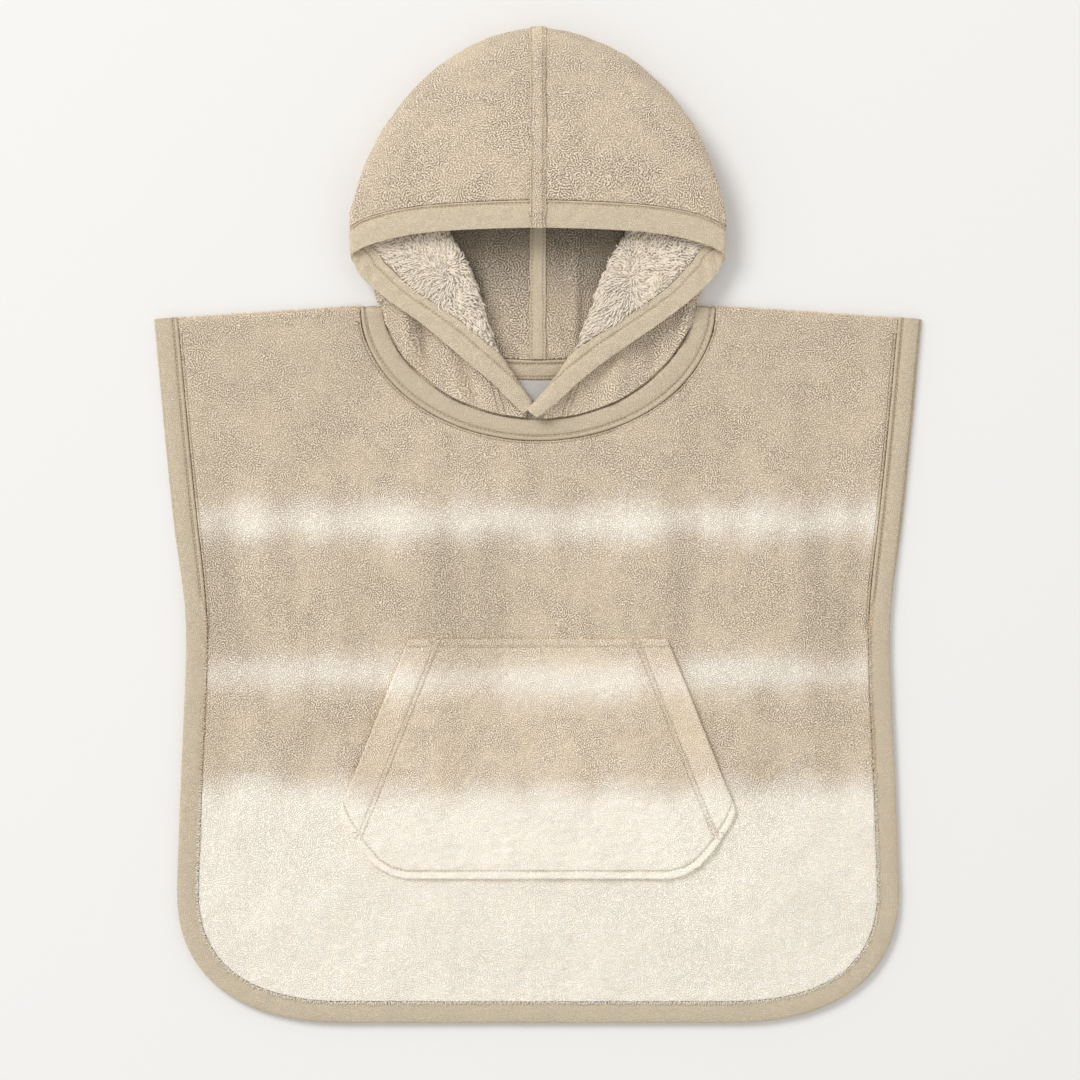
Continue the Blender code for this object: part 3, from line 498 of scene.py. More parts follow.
def distance_to_line(points, path):
    """Distance of (x, y) points from a path, and how far along it each lies."""
    best = np.full(points.shape[:-1], 1e9)
    run = np.zeros(points.shape[:-1])
    before = 0.0
    for start, end in zip(path[:-1], path[1:]):
        way = end - start
        length = np.linalg.norm(way)
        part = np.clip(((points - start) @ way) / length ** 2, 0, 1)
        away = np.linalg.norm(points - start - part[..., None] * way, axis=-1)
        nearer = away < best
        best = np.where(nearer, away, best)
        run = np.where(nearer, before + part * length, run)
        before += length
    return best, run


# ---------------------------------------------------------------- meshes
def quads(rows, columns, wrap=False):
    """Faces of a grid of points, four point numbers each; wrap closes the columns."""
    along = np.arange(columns if wrap else columns - 1)
    start = np.arange(rows - 1)[:, None] * columns
    a, b = (start + along).ravel(), (start + (along + 1) % columns).ravel()
    return np.stack([a, b, b + columns, a + columns], axis=1)


def tube_faces(rings, sides):
    """Faces of a closed tube of rings: its side as quads, and both ends as triangles."""
    corner = np.arange(1, sides - 1)
    near = np.stack([0 * corner, corner, corner + 1], axis=1)
    return (quads(rings, sides, wrap=True)[:, ::-1],
            np.concatenate([near, (rings - 1) * sides + near[:, ::-1]]))


def add_object(name, data):
    """A new object in the scene."""
    made = bpy.data.objects.new(name, data)
    bpy.context.scene.collection.objects.link(made)
    return made


def put_piece(name, points, face_sets, material, **kept):
    """One object from points in millimetres, with its faces turned outward.

    Kept on its points for the material are seam, run, pressed and cloth: the distance
    from the nearest row of stitches, the place along it, how flat the pile is
    pressed, and the place on the cloth laid flat, which is seen from above unless it
    is given.  On the hood's walls, run instead holds the mask of painted shade in the
    hollows of the back wall.  The faces are turned where their volume, summed as thin
    pyramids, comes out below zero.
    """
    points = np.asarray(points, dtype=float) * MM
    points[:, 2] = np.maximum(points[:, 2], 0.0)
    volume = 0.0
    for faces in face_sets:
        corners = points[faces] - points[0]
        for k in range(1, faces.shape[1] - 1):
            turned = np.cross(corners[:, k], corners[:, k + 1])
            volume += np.einsum("ij,ij->", corners[:, 0], turned)
    order = slice(None, None, -1 if volume < 0 else 1)
    mesh = bpy.data.meshes.new(name)
    mesh.from_pydata(points.tolist(), [],
                     [face for faces in face_sets for face in faces[:, order].tolist()])
    mesh.polygons.foreach_set("use_smooth", np.ones(len(mesh.polygons), dtype=bool))
    for label, plain in (("seam", FAR_FROM_SEAM), ("run", 0.0), ("pressed", 0.0)):
        values = np.broadcast_to(np.ravel(kept.get(label, plain)), len(points))
        mesh.attributes.new(label, "FLOAT", "POINT").data.foreach_set(
            "value", np.array(values, dtype=np.float32))
    cloth = np.asarray(kept["cloth"]) * MM if "cloth" in kept else points
    mesh.attributes.new("cloth", "FLOAT_VECTOR", "POINT").data.foreach_set(
        "vector", with_height(cloth[:, :2], 0.0).astype(np.float32).ravel())
    mesh.materials.append(finish_of(material))
    mesh.update()
    return add_object(name, mesh)


def wall_points(middle, upper, lower):
    """Points and faces of a wall of cloth with a rounded rim, and where its points lie.

    middle is a grid of points, and upper and lower are how far each face lies from
    it.  The border is drawn in, and half a circle closes it again.
    """
    rows, columns = middle.shape[:2]
    normal = grid_normals(middle)
    upper, lower = (np.broadcast_to(rise, (rows, columns))[..., None] for rise in (upper, lower))
    down, over = np.arange(rows - 1), np.arange(columns - 1)
    i = np.concatenate([0 * over, down, 0 * over + rows - 1, rows - 1 - down])
    j = np.concatenate([over, 0 * down + columns - 1, columns - 1 - over, 0 * down])
    outward = middle[i, j] - middle[np.clip(i, 1, rows - 2), np.clip(j, 1, columns - 2)]
    room = np.linalg.norm(outward, axis=1, keepdims=True)
    outward = outward / np.maximum(room, 1e-9)
    depth = np.minimum((upper[i, j] + lower[i, j]) / 2 * 0.9, 0.45 * room)
    top, bottom = middle + normal * upper, middle - normal * lower
    top[i, j] -= outward * depth
    bottom[i, j] -= outward * depth
    centre, half = (top[i, j] + bottom[i, j]) / 2, (top[i, j] - bottom[i, j]) / 2
    rings = [centre + half * np.cos(angle) + outward * depth * np.sin(angle)
             for angle in np.linspace(0, np.pi, RIM_STEPS + 2)[1:-1]]
    count, rim = rows * columns, i * columns + j
    lines = [rim] + [2 * count + k * len(i) + np.arange(len(i))
                     for k in range(RIM_STEPS)] + [rim + count]
    top_faces = quads(rows, columns)
    faces = [top_faces, top_faces[:, ::-1] + count]
    faces += [np.stack([near, far, np.roll(far, -1), np.roll(near, -1)], axis=1)
              for near, far in zip(lines[:-1], lines[1:])]
    points = np.concatenate([top.reshape(-1, 3), bottom.reshape(-1, 3)] + rings)
    cells = np.arange(count)
    return points, np.concatenate(faces), np.concatenate([cells, cells] + [rim] * RIM_STEPS)


def either_way(outside_up, outer, inner):
    """What the upper and the lower side of a wall get, from its outer and its inner."""
    return (outer, inner) if outside_up else (inner, outer)


def cloth_wall(name, middle, upper, lower, material, **kept):
    """A wall of cloth made from a grid of middle points; kept is given on that grid."""
    points, faces, cells = wall_points(middle, upper, lower)
    count = middle[..., 0].size
    kept = {label: values.reshape(count, *values.shape[2:])[cells]
            for label, values in kept.items()}
    return put_piece(name, points, [faces], material, **kept)


def tube_mesh(name, middle, side, up, radius, sides, material):
    """Many small closed tubes as one mesh: rings round (tube, ring) middle points."""
    angle = np.linspace(0, 2 * np.pi, sides, endpoint=False)[:, None]
    ring = side[:, None, None] * np.cos(angle) + up[:, None, None] * np.sin(angle)
    points = middle[:, :, None] + ring * radius[..., None, None]
    count, rings = middle.shape[:2]
    offsets = (np.arange(count) * rings * sides)[:, None, None]
    return put_piece(name, points.reshape(-1, 3),
                     [(faces + offsets).reshape(-1, faces.shape[1])
                      for faces in tube_faces(rings, sides)], material)


def dress(piece, node_name, flat, area, with_pieces=()):
    """Attach a piece of cloth to the root and hide the part that it stands for; flat is read but
    has no effect, and area and with_pieces are not used.
    """
    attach(piece, "root")
    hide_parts(node_name)
    flat[0] * MM
    flat[1] * MM


def trim(piece):
    """Attach a piece of thread or pile to the root, with the garment."""
    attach(piece, "root")
    return piece


# ---------------------------------------------------------------- stitches and pile
def stitch_mesh(name, curves, sizes, material="sewing thread"):
    """Rows of stitches as one mesh: each is a thin bead, tapered at both ends.

    Each curve is (points, up), where up is the way out of the cloth.  A bead has
    four rings of five points, and its ends dip into the cloth.
    """
    radius = sizes.thickness / MM / 2
    rows = [(*resample(points, sizes.pitch / MM), up) for points, up in curves]
    at, along = (np.concatenate([row[place] for row in rows]) for place in (0, 1))
    up = np.concatenate([np.broadcast_to(row[2], row[0].shape) for row in rows])
    side = unit(np.cross(along, up))
    up = unit(np.cross(side, along))
    place, girth, lift = np.array(STITCH_RINGS)
    middle = (at[:, None] + along[:, None] * (place * sizes.length / MM)[:, None]
              + up[:, None] * (lift * radius)[:, None])
    return tube_mesh(name, middle, side, up, (girth * radius)[None], 5, material)


def sewn_row(path, ups, reach, pitch):
    """A path and the way out of the cloth at each stitch along it, for stitch_mesh."""
    count = len(even_places(path, pitch)[0])
    nearest = np.searchsorted(reach, (np.arange(count) + 0.5) * pitch)
    return path, ups[nearest.clip(0, len(ups) - 1)]


def loop_mesh(name, roots, ways, ups, sizes, seed, material, length, girth, arch, scattering):
    """Pile loops as one mesh: each is a bent thread that arches out and droops.

    A loop's middle line goes out along its way and up by a parabola.  It has four
    rings of three points, and it tapers toward its tip.
    """
    rng = np.random.default_rng(seed)
    count = len(roots)
    reach = sizes.loop_length / MM * length * rng.uniform(0.55, 1.25, count)[:, None]
    radius = sizes.loop_thickness / MM / 2 * girth * rng.uniform(0.8, 1.2, count)[:, None]
    twist = rng.normal(0, scattering, count)[:, None]
    ways = unit(ways + unit(np.cross(ways, ups)) * twist)
    side = unit(np.cross(ways, ups))
    place = np.linspace(0, 1, 4)
    arch = arch * (4 * place * (1 - place) + place * rng.uniform(-0.8, 1.0, count)[:, None])
    curl = np.sin(place * np.pi) * rng.normal(0, 0.22, count)[:, None]
    middle = (roots[:, None] + ways[:, None] * (reach * place)[..., None]
              + ups[:, None] * (reach * arch)[..., None]
              + side[:, None] * (reach * curl)[..., None])
    return tube_mesh(name, middle, side, ups, radius * np.array(LOOP_TAPER), 3,
                     material)


def fringe(curve, way, spacing, seed, spread=0.8):
    """Roots, ways and ups of pile loops along an edge, scattered a little about it."""
    rng = np.random.default_rng(seed)
    points, along = resample(curve, spacing)
    at, reach = even_places(curve, spacing)
    ways, ups = (unit(read_at(at, reach, np.broadcast_to(each, curve.shape)))
                 for each in (way, UP))
    points = (points + along * rng.normal(0, spacing / 2, len(points))[:, None]
              + ways * rng.uniform(-spread, spread * 0.4, len(points))[:, None]
              + ups * rng.uniform(-0.5, 0.3, len(points))[:, None])
    return points, ways, ups


def scatter(surface, lift, count, seed, way_of):
    """Random places on a surface, evenly by area, with ways along it and ups out of it."""
    rng = np.random.default_rng(seed)
    share = np.linalg.norm(cell_crosses(surface), axis=-1).ravel()
    cells = rng.choice(len(share), count, p=share / share.sum())
    i, j = np.divmod(cells, surface.shape[1] - 1)
    u, v = rng.uniform(size=(2, count))[..., None]
    on_surface, ups = ((grid[i, j] * (1 - u) + grid[i + 1, j] * u) * (1 - v)
                       + (grid[i, j + 1] * (1 - u) + grid[i + 1, j + 1] * u) * v
                       for grid in (surface, grid_normals(surface)))
    ups = unit(ups) * np.sign(lift)
    points = on_surface + ups * abs(lift)
    ways = way_of(points)
    ways = unit(ways - ups * np.einsum("ij,ij->i", ways, ups)[:, None])
    return points, ways, ups


# ---------------------------------------------------------------- body outlines
def body_outline(fine=1):
    """Outer edge of the front: left shoulder, side, hem, side, right shoulder.

    The side's widths are eased by a moving mean; the corner is a superellipse.
    """
    sides = table(SIDE_COLUMNS, SIDE_ROWS)
    heights = np.linspace(sides["y"][0], sides["y"][-1], SIDE_STEPS * fine + 1)
    widths = np.interp(-heights, -sides["y"], sides["half_width"])
    if fine > 1:
        pad = 2 * fine
        kernel = np.hanning(2 * pad + 1)
        widths = np.concatenate([2 * widths[0] - widths[pad:0:-1], widths,
                                 2 * widths[-1] - widths[-2:-pad - 2:-1]])
        widths = np.convolve(widths, kernel / kernel.sum(), "valid")
    side = np.stack([widths, heights], axis=1)
    angle = np.linspace(0, np.pi / 2, CORNER_STEPS * fine + 1)[1:]
    turned = np.stack([np.cos(angle), -np.sin(angle)], axis=1)
    corner = (side[-1] - np.array([CORNER_SIZE[0], 0.0])
              + CORNER_SIZE * np.sign(turned) * np.abs(turned) ** (2 / CORNER_FULLNESS))
    hem = line(corner[-1], (0.0, HEM_Y), HEM_STEPS * fine)
    half = np.concatenate([side, corner, hem])
    return np.concatenate([half * MIRROR[:2], half[-2::-1]])


def neck_curve(which, steps, clearance=0.0):
    """A neck curve from the left shoulder to the right, clearance away from the neck."""
    half_width, low_y, power = NECK[which]
    angle = np.linspace(-np.pi / 2, np.pi / 2, steps + 1)
    depth = SHOULDER_Y - low_y + clearance
    return np.stack([(half_width + clearance) * np.sin(angle),
                     SHOULDER_Y - depth * np.cos(angle) ** power], axis=1)


def panel_grid(neck, neck_steps, shoulder_steps, fine):
    """Flat grid of (x, y) points that fills a body panel between its four edges.

    Each point shares its width with the side at its height.  Its height is the
    side's, with the top's and the hem's own shapes added in by how near they are.
    The columns start as the neck's points and soon spread out evenly.  The shoulder
    edge is drawn in by the radius of the fold there.
    """
    edge = inset(body_outline(fine), BINDING_WIDTH + SEAM_GAP)
    half = edge[: len(edge) // 2 + 1] * MIRROR[:2]
    half[0, 1] = SHOULDER_END_Y
    neck_points = neck_curve(neck, neck_steps * fine, SEAM_GAP)
    left_end = half[0] * MIRROR[:2]
    run = line(left_end, neck_points[0], shoulder_steps * fine)[:-1]
    left = np.concatenate([[left_end], run])
    top = np.concatenate([left, neck_points, left[::-1] * MIRROR[:2]])

    corner = (SIDE_STEPS + CORNER_STEPS // 2) * fine
    side = half[: corner + 1]
    hem = half[corner:][::-1]
    down = np.linspace(0, 1, len(side))[:, None]
    evenly = np.linspace(-1, 1, len(top))
    share = down ** COLUMN_SPREAD
    over = (1 - share) * top[:, 0] / top[-1, 0] + share * evenly
    hem_y = np.interp(np.abs(evenly) * side[-1, 0], hem[:, 0], hem[:, 1])
    x = over * side[:, :1]
    y = (1 - down) * (top[:, 1] - top[0, 1]) + down * (hem_y - hem_y[0]) + side[:, 1:]
    beside = ramp(np.abs(x), NECK_SIDE, NECK_SIDE_EASE)
    y = y - SHOULDER_ROUND * beside * np.linspace(1, 0, len(side))[:, None] ** 8
    return np.stack([x, y], axis=2)


def front_height(x, y):
    """Middle height of the front panel: its level and the soft waves in it."""
    height = np.full(np.shape(x), FRONT_LAYER_Z)
    for wave in row_dicts(WAVE_COLUMNS, WAVE_ROWS):
        across = hill(x, wave["x"], wave["half_width"])
        along = np.clip(1 - ((y - wave["y"]) / wave["reach"]) ** 2, 0, 1)
        height = height + wave["height"] * across * along ** 2
    return height


# ---------------------------------------------------------------- shader nodes
class Value:
    """What a node gives; sums, products and quotients of values are Math nodes."""

    def __init__(self, tree, socket):
        self.tree, self.socket = tree, socket

    def math(self, operation, *others, last=False):
        """A Math node on this value and others; last puts this one after them."""
        given = (*others, self) if last else (self, *others)
        return node(self.tree, "Math", dict(enumerate(given)), operation=operation)

    def __add__(self, other):
        return self.math("ADD", other)

    def __sub__(self, other):
        return self.math("SUBTRACT", other)

    def __mul__(self, other):
        return self.math("MULTIPLY", other)

    def __truediv__(self, other):
        return self.math("DIVIDE", other)

    def __rtruediv__(self, other):
        return self.math("DIVIDE", other, last=True)


def put(tree, value, socket):
    """Give a socket a plain number or colour, or join it to what a node gives."""
    if isinstance(value, Value):
        tree.links.new(value.socket, socket)
    else:
        socket.default_value = value


def node(tree, kind, inputs, output=0, **settings):
    """One output of a new node, with its settings and its inputs by name or place."""
    made = tree.nodes.new("ShaderNode" + kind)
    for name, value in settings.items():
        setattr(made, name, value)
    for name, value in inputs.items():
        put(tree, value, made.inputs[name])
    return Value(tree, made.outputs[output])


def smooth_step(value, low, high):
    """0 below low, 1 above high and smooth between."""
    return node(value.tree, "MapRange", {"Value": value, "From Min": low, "From Max": high},
                interpolation_type="SMOOTHSTEP")


def noise(vector, scale, detail=2.0, roughness=0.5, dimensions="3D"):
    """A Noise texture's value."""
    return node(vector.tree, "TexNoise", {"Vector": vector, "Scale": scale, "Detail": detail,
                                          "Roughness": roughness}, noise_dimensions=dimensions)


def mix(tree, share, first, second, blend="MIX"):
    """Two colours mixed by a share."""
    return node(tree, "Mix", {0: share, 6: first, 7: second}, 2, data_type="RGBA",
                blend_type=blend, clamp_factor=True)


def attribute(tree, name, output="Fac"):
    """A number or a place kept on the piece's points."""
    return node(tree, "Attribute", {}, output, attribute_name=name)


def scaled(vector, scale):
    """A place multiplied by a number."""
    return node(vector.tree, "VectorMath", {0: vector, "Scale": scale}, operation="SCALE")


def tinted(colour, share, tint=(1.0, 1.0, 1.0)):
    """A colour multiplied by a share and a tint."""
    return tuple(part * share * own for part, own in zip(colour, tint)) + (1.0,)


def terry_pile(vector, width):
    """Terry pile: short threads that lie side by side, each patch of them its own way.

    Stripes one thread wide are turned by a slow noise.  Threads is 0 in the gaps and
    1 on top of a thread.  Clumps is a slow noise for patches of longer pile.
    """
    point = scaled(vector, 500.0 / width)
    turned = noise(point, 0.11, 1.0, dimensions="2D") * 14.0
    stripes = node(vector.tree, "TexGabor", {"Vector": point, "Scale": 0.62, "Frequency": 1.65,
                                             "Anisotropy": 0.30, "Orientation": turned},
                   "Value", gabor_type="2D")
    threads = smooth_step(stripes, 0.30, 0.70)
    clumps = noise(point, 0.055, dimensions="2D")
    return {"Threads": threads, "Height": clumps * 0.8 + threads, "Clumps": clumps}


def dye_bands(vector):
    """Dip-dyed bands across the body, worked out from the height up the garment.

    Paleness is 0 in the full dye and 1 undyed.  Each light band is a soft bump whose
    edge wanders and whose strength swells and fades across the width, by the same
    upright columns of noise that draw the foot up and make Deepness, the dark streaks.
    """
    across, up = (node(vector.tree, "SeparateXYZ", {0: vector}, axis) for axis in "XY")
    flat = node(vector.tree, "CombineXYZ", {"X": across, "Y": up * 0.20})
    columns = noise(flat, 21.0, 1.0, 0.4)
    beads = smooth_step(columns, 0.36, 0.64)
    place = up + (noise(vector, 42.0) - 0.5) * 0.013
    pale = smooth_step(place * -1.0, 0.145, 0.215) * (beads * 0.26)
    pale = smooth_step((columns - 0.5) * 0.040 - place, *DYE_FOOT).math("MAXIMUM", pale)
    for middle, reach, strength in DYE_BANDS:
        away = (place - middle) / (beads * (reach * 0.30) + reach * 0.84)
        square = away * away
        swell = beads * (0.38 * strength) + 0.57 * strength
        pale = pale.math("MAXIMUM", swell / (square * (square * 0.7 + 0.7) + 1.0))
    under = smooth_step((up + 0.052).math("ABSOLUTE"), 0.10, 0.02)
    deep = smooth_step(columns, 0.56, 0.34) * (under * 0.40 + 0.30)
    return {"Paleness": pale, "Deepness": smooth_step(up, 0.02, 0.17) * 0.26 + deep}


def brushed_knit(vector, size):
    """Fine crinkle of the smooth binding: short soft ridges that lie all ways."""
    point = scaled(vector, 1000.0 / size)
    ridges = (noise(point, 0.55, 3.0, 0.6) - 0.5).math("ABSOLUTE")
    height = noise(point, 1.6, 1.0) * 0.25 + (ridges * -2.4 + 0.6)
    return {"Height": height, "Shade": noise(point, 0.06)}


def stitch_line(seam, run, width):
    """A pressed line where a row of stitches holds the cloth down.

    Seam is the distance from the row in millimetres and Run the place along it.
    Groove is 1 in the line, and Holes is 1 where the needle went in.
    """
    away = seam / width
    square = away * away
    groove = 1.0 / (square * square + 1.0)
    dots = smooth_step((run * (2 * np.pi / HOLE_PITCH)).math("COSINE"), -0.1, 0.7)
    return {"Groove": groove, "Holes": dots * groove}


# Each shared group: its inputs, of which the first may be a place, and its maker.
GROUPS = {
    "Terry pile": ({"Vector": None, "Width": 1.2}, terry_pile),
    "Dye bands": ({"Vector": None}, dye_bands),
    "Brushed knit": ({"Vector": None, "Size": 1.3}, brushed_knit),
    "Stitch line": ({"Seam": FAR_FROM_SEAM, "Run": 0.0, "Width": 0.9}, stitch_line),
}


def make_group(name):
    """A shared effect as a shader group."""
    inputs, maker = GROUPS[name]
    tree = bpy.data.node_groups.new(name, "ShaderNodeTree")
    for label, value in inputs.items():
        kind = "NodeSocketVector" if value is None else "NodeSocketFloat"
        socket = tree.interface.new_socket(label, in_out="INPUT", socket_type=kind)
        if value is not None:
            socket.default_value = value
    start = tree.nodes.new("NodeGroupInput")
    made = maker(*[Value(tree, start.outputs[label]) for label in inputs])
    for label in made:
        tree.interface.new_socket(label, in_out="OUTPUT", socket_type="NodeSocketFloat")
    end = tree.nodes.new("NodeGroupOutput")
    for label, value in made.items():
        put(tree, value, end.inputs[label])
    return tree


def use_group(tree, name, *values):
    """The outputs of a shared effect by name; it is made the first time it is used."""
    made = tree.nodes.new("ShaderNodeGroup")
    made.node_tree = bpy.data.node_groups.get(name) or make_group(name)
    for value, socket in zip(values, made.inputs):
        put(tree, value, socket)
    return {socket.name: Value(tree, socket) for socket in made.outputs}


# ---------------------------------------------------------------- materials
def start_material(name, roughness, sheen, tint=(1.0, 1.0, 1.0)):
    """A cloth material, matt with a soft sheen: it, its tree and its own places."""
    material = bpy.data.materials.new(name)
    material.use_nodes = True
    tree = material.node_tree
    for label, value in (("Roughness", roughness), ("Specular IOR Level", 0.2),
                         ("Sheen Weight", sheen), ("Sheen Roughness", 0.6),
                         ("Sheen Tint", (*tint, 1.0))):
        tree.nodes["Principled BSDF"].inputs[label].default_value = value
    return material, tree, node(tree, "TexCoord", {}, "Object")


def finished(material, shade, height=None, depth=0.0):
    """The material with its colour, and its height as a bump."""
    tree = material.node_tree
    shader = tree.nodes["Principled BSDF"]
    put(tree, shade, shader.inputs["Base Color"])
    if height is not None:
        bump = node(tree, "Bump", {"Strength": 1.0, "Distance": depth, "Height": height})
        put(tree, bump, shader.inputs["Normal"])
    return material


def sewn_in(tree, shade, height, colour, width, depth, lines):
    """The shade and height with a row of stitches pressed into them, and shade painted
    into its groove and the needle's holes.

    lines gives how much of the groove and of the holes shows, and how dark the shade
    painted in each is.  In a narrow line of sewing the painted shade is browner, not greyer.
    """
    row = use_group(tree, "Stitch line", attribute(tree, "seam"), attribute(tree, "run"), width)
    for label, (share, dark) in zip(("Groove", "Holes"), lines):
        shade = mix(tree, row[label] * share, shade, tinted(colour, dark, SEAM_SHADE_TINT))
    return shade, row["Groove"] * -depth + height


def terry_material(name, sizes, colour, light, thread, relief, dyed, stitched, deep, shift):
    """Looped terry: the gaps between threads are deeper and get painted shade, and the tips get
    painted highlights.
    """
    material, tree, point = start_material(name, 0.95, 0.08, (1.0, 0.92, 0.80))
    shade = base = tinted(getattr(sizes.colours, colour), light)
    if dyed:
        moved = node(tree, "VectorMath", {0: point, 1: (0.0, shift, 0.0)})
        bands = use_group(tree, "Dye bands", moved)
        tan = mix(tree, bands["Deepness"], base, tinted(base, 0.84))
        shade = mix(tree, bands["Paleness"], tan, tuple(sizes.colours.cream))
    if deep:
        # Painted shade inside the hood: darker toward the crown, and darker again in the hollows
        # between the back wall's folds, which the run attribute marks.
        depth = smooth_step(node(tree, "SeparateXYZ", {0: point}, "Y"), *HOOD_SHADE_SPAN)
        valley_shaded = mix(tree, attribute(tree, "run") * 0.9, base, tinted(base, 0.50))
        shade = mix(tree, depth, valley_shaded, tinted(base, 0.42))
    loops = use_group(tree, "Terry pile", attribute(tree, "cloth", "Vector"),
                      sizes.pile.thread / MM * thread)
    clumped = smooth_step(loops["Clumps"], 0.36, 0.62)
    if dyed:
        clumped = (clumped * 0.7).math("MAXIMUM", bands["Deepness"])
    else:
        clumped = clumped * 0.72 + 0.16
    # Painted shade in the gaps and painted highlights on the tips, stronger in long pile.
    contrast = sizes.pile.contrast
    gap, tip = (mix(tree, clumped, *(tinted(tint, 1.0 + share * contrast) for share, tint in pair))
                for pair in (GAP_SHADES, TIP_HIGHLIGHTS))
    if dyed:
        gap = mix(tree, bands["Paleness"], gap, PALE_GAP_SHADE)
        tip = mix(tree, bands["Paleness"], tip, PALE_TIP_HIGHLIGHT)
    # Where the pile is pressed flat, its gaps get less painted shade.
    pressed = attribute(tree, "pressed")
    gap = mix(tree, pressed * 0.28, gap, PRESSED_GAP_SHADE)
    threads = mix(tree, loops["Threads"], gap, tip)
    cloudiness = sizes.pile.cloudiness
    cloud = noise(point, 22.0, 3.0) * cloudiness + (1.0 - cloudiness / 2)
    grey = node(tree, "CombineColor", {0: cloud, 1: cloud, 2: cloud})
    threads = mix(tree, 1.0, threads, grey, "MULTIPLY")
    shade = mix(tree, 1.0, shade, threads, "MULTIPLY")
    height = loops["Height"] * (pressed * -0.15 + 1.0)
    # Painted shade in the stitches' groove and holes.
    if stitched:
        shade, height = sewn_in(tree, shade, height, base, 0.62, 1.2,
                                ((0.14, 0.62), (0.30, 0.40)))
    return finished(material, shade, height, sizes.pile.relief * relief)


def smooth_material(name, colour, size, depth):
    """Smooth brushed knit of the bindings and tapes."""
    material, tree, point = start_material(name, 0.9, 0.05, (1.0, 0.95, 0.88))
    knit = use_group(tree, "Brushed knit", point, size)
    curls = use_group(tree, "Terry pile", attribute(tree, "cloth", "Vector"), size * 0.62)
    shade = mix(tree, knit["Shade"] * 0.45, colour, tinted(colour, 0.80))
    # Painted shade in the hollows of the crinkle and between the curls.
    shade = mix(tree, knit["Height"] * -0.30 + 0.22, shade, tinted(colour, 0.72))
    shade = mix(tree, curls["Threads"] * -0.46 + 0.46, shade, tinted(colour, 0.62))
    height = curls["Threads"] * 1.9 + knit["Height"]
    # Painted shade in the stitches' groove and holes.
    shade, height = sewn_in(tree, shade, height, colour, 0.7, 1.6, ((0.28, 0.58), (0.42, 0.36)))
    return finished(material, shade, height, depth)


def label_material(name, colours):
    """Bare woven label: fine crossing threads with a faint satin light."""
    material, tree, point = start_material(name, 0.55, 0.1)
    warp, weft = ((node(tree, "SeparateXYZ", {0: point}, axis) * count).math("SINE")
                  for axis, count in (("X", 14000.0), ("Y", 11000.0)))
    weave = warp * weft * 0.5 + 0.5
    shade = mix(tree, weave * 0.35, tuple(colours.label), tinted(colours.label, 0.72))
    return finished(material, shade, weave, 0.0001)


def thread_material(name, colour):
    """Sewing thread and single pile loops: a fine twist with a soft sheen."""
    material, tree, point = start_material(name, 0.8, 0.08, (1.0, 0.96, 0.9))
    fuzz = noise(point, 2600.0, 1.0)
    shade = mix(tree, fuzz, tinted(colour, 0.80), tinted(colour, 1.12))
    return finished(material, shade, fuzz, 0.0001)


def dyed_loop_material(name, colours):
    """Loose pile loops of the body, dyed as the cloth beneath them."""
    material, tree, point = start_material(name, 0.9, 0.08, (1.0, 0.95, 0.88))
    bands = use_group(tree, "Dye bands", point)
    shade = mix(tree, bands["Paleness"], tuple(colours.terry), tuple(colours.cream))
    return finished(material, mix(tree, noise(point, 900.0, 1.0), shade,
                                  (0.94, 0.89, 0.80, 1.0), "MULTIPLY"))


def floor_material(name, colour):
    """Plain pale floor with the faintest unevenness in its gloss."""
    material, tree, point = start_material(name, 0.9, 0.0)
    rough = noise(point, 6.0) * 0.1 + 0.85
    put(tree, rough, tree.nodes["Principled BSDF"].inputs["Roughness"])
    return finished(material, tuple(colour))


# The deep column paints shade inside the hood.
TERRY_FINISHES = {  # colour, lightness, thread, relief, dyed, stitched, deep, dye's shift
    "terry dyed": ("terry", 1.0, 1.0, 1.0, True, True, False, 0.0),
    "terry pocket": ("terry", 1.05, 0.92, 0.75, True, True, False, POCKET_DYE_SHIFT),
    "terry inside": ("terry", 1.0, 1.15, 1.2, False, False, True, 0.0),
    "terry lining": ("lining", 0.80, 1.45, 1.4, False, False, False, 0.0),
    "terry outer": ("terry", 1.0, 1.0, 1.0, False, True, False, 0.0),
    "terry tape": ("terry", 1.0, 0.9, 0.8, False, True, False, 0.0),
}
SMOOTH_FINISHES = {  # lightness, size of the knit in millimetres, depth in metres
    "smooth binding": (1.0, 1.2, 0.0003),
    "band binding": (1.09, 1.2, 0.0003),
    "inner tape": (1.0, 1.1, 0.0002),
}
THREAD_FINISHES = {"lining loops": ("lining", 1.0), "pale thread": ("lining", 0.90),
                   "sewing thread": ("thread", 1.0)}  # colour and lightness


def finish_of(name):
    """A material by its name, made the first time it is asked for."""
    sizes = bpy.context.scene.poncho
    if bpy.data.materials.get(name):
        return bpy.data.materials[name]
    if name in TERRY_FINISHES:
        return terry_material(name, sizes, *TERRY_FINISHES[name])
    if name in SMOOTH_FINISHES:
        light, size, depth = SMOOTH_FINISHES[name]
        return smooth_material(name, tinted(sizes.colours.binding, light), size, depth)
    if name in THREAD_FINISHES:
        colour, light = THREAD_FINISHES[name]
        return thread_material(name, tinted(getattr(sizes.colours, colour), light))
    maker = label_material if name == "woven label" else dyed_loop_material
    return maker(name, sizes.colours)


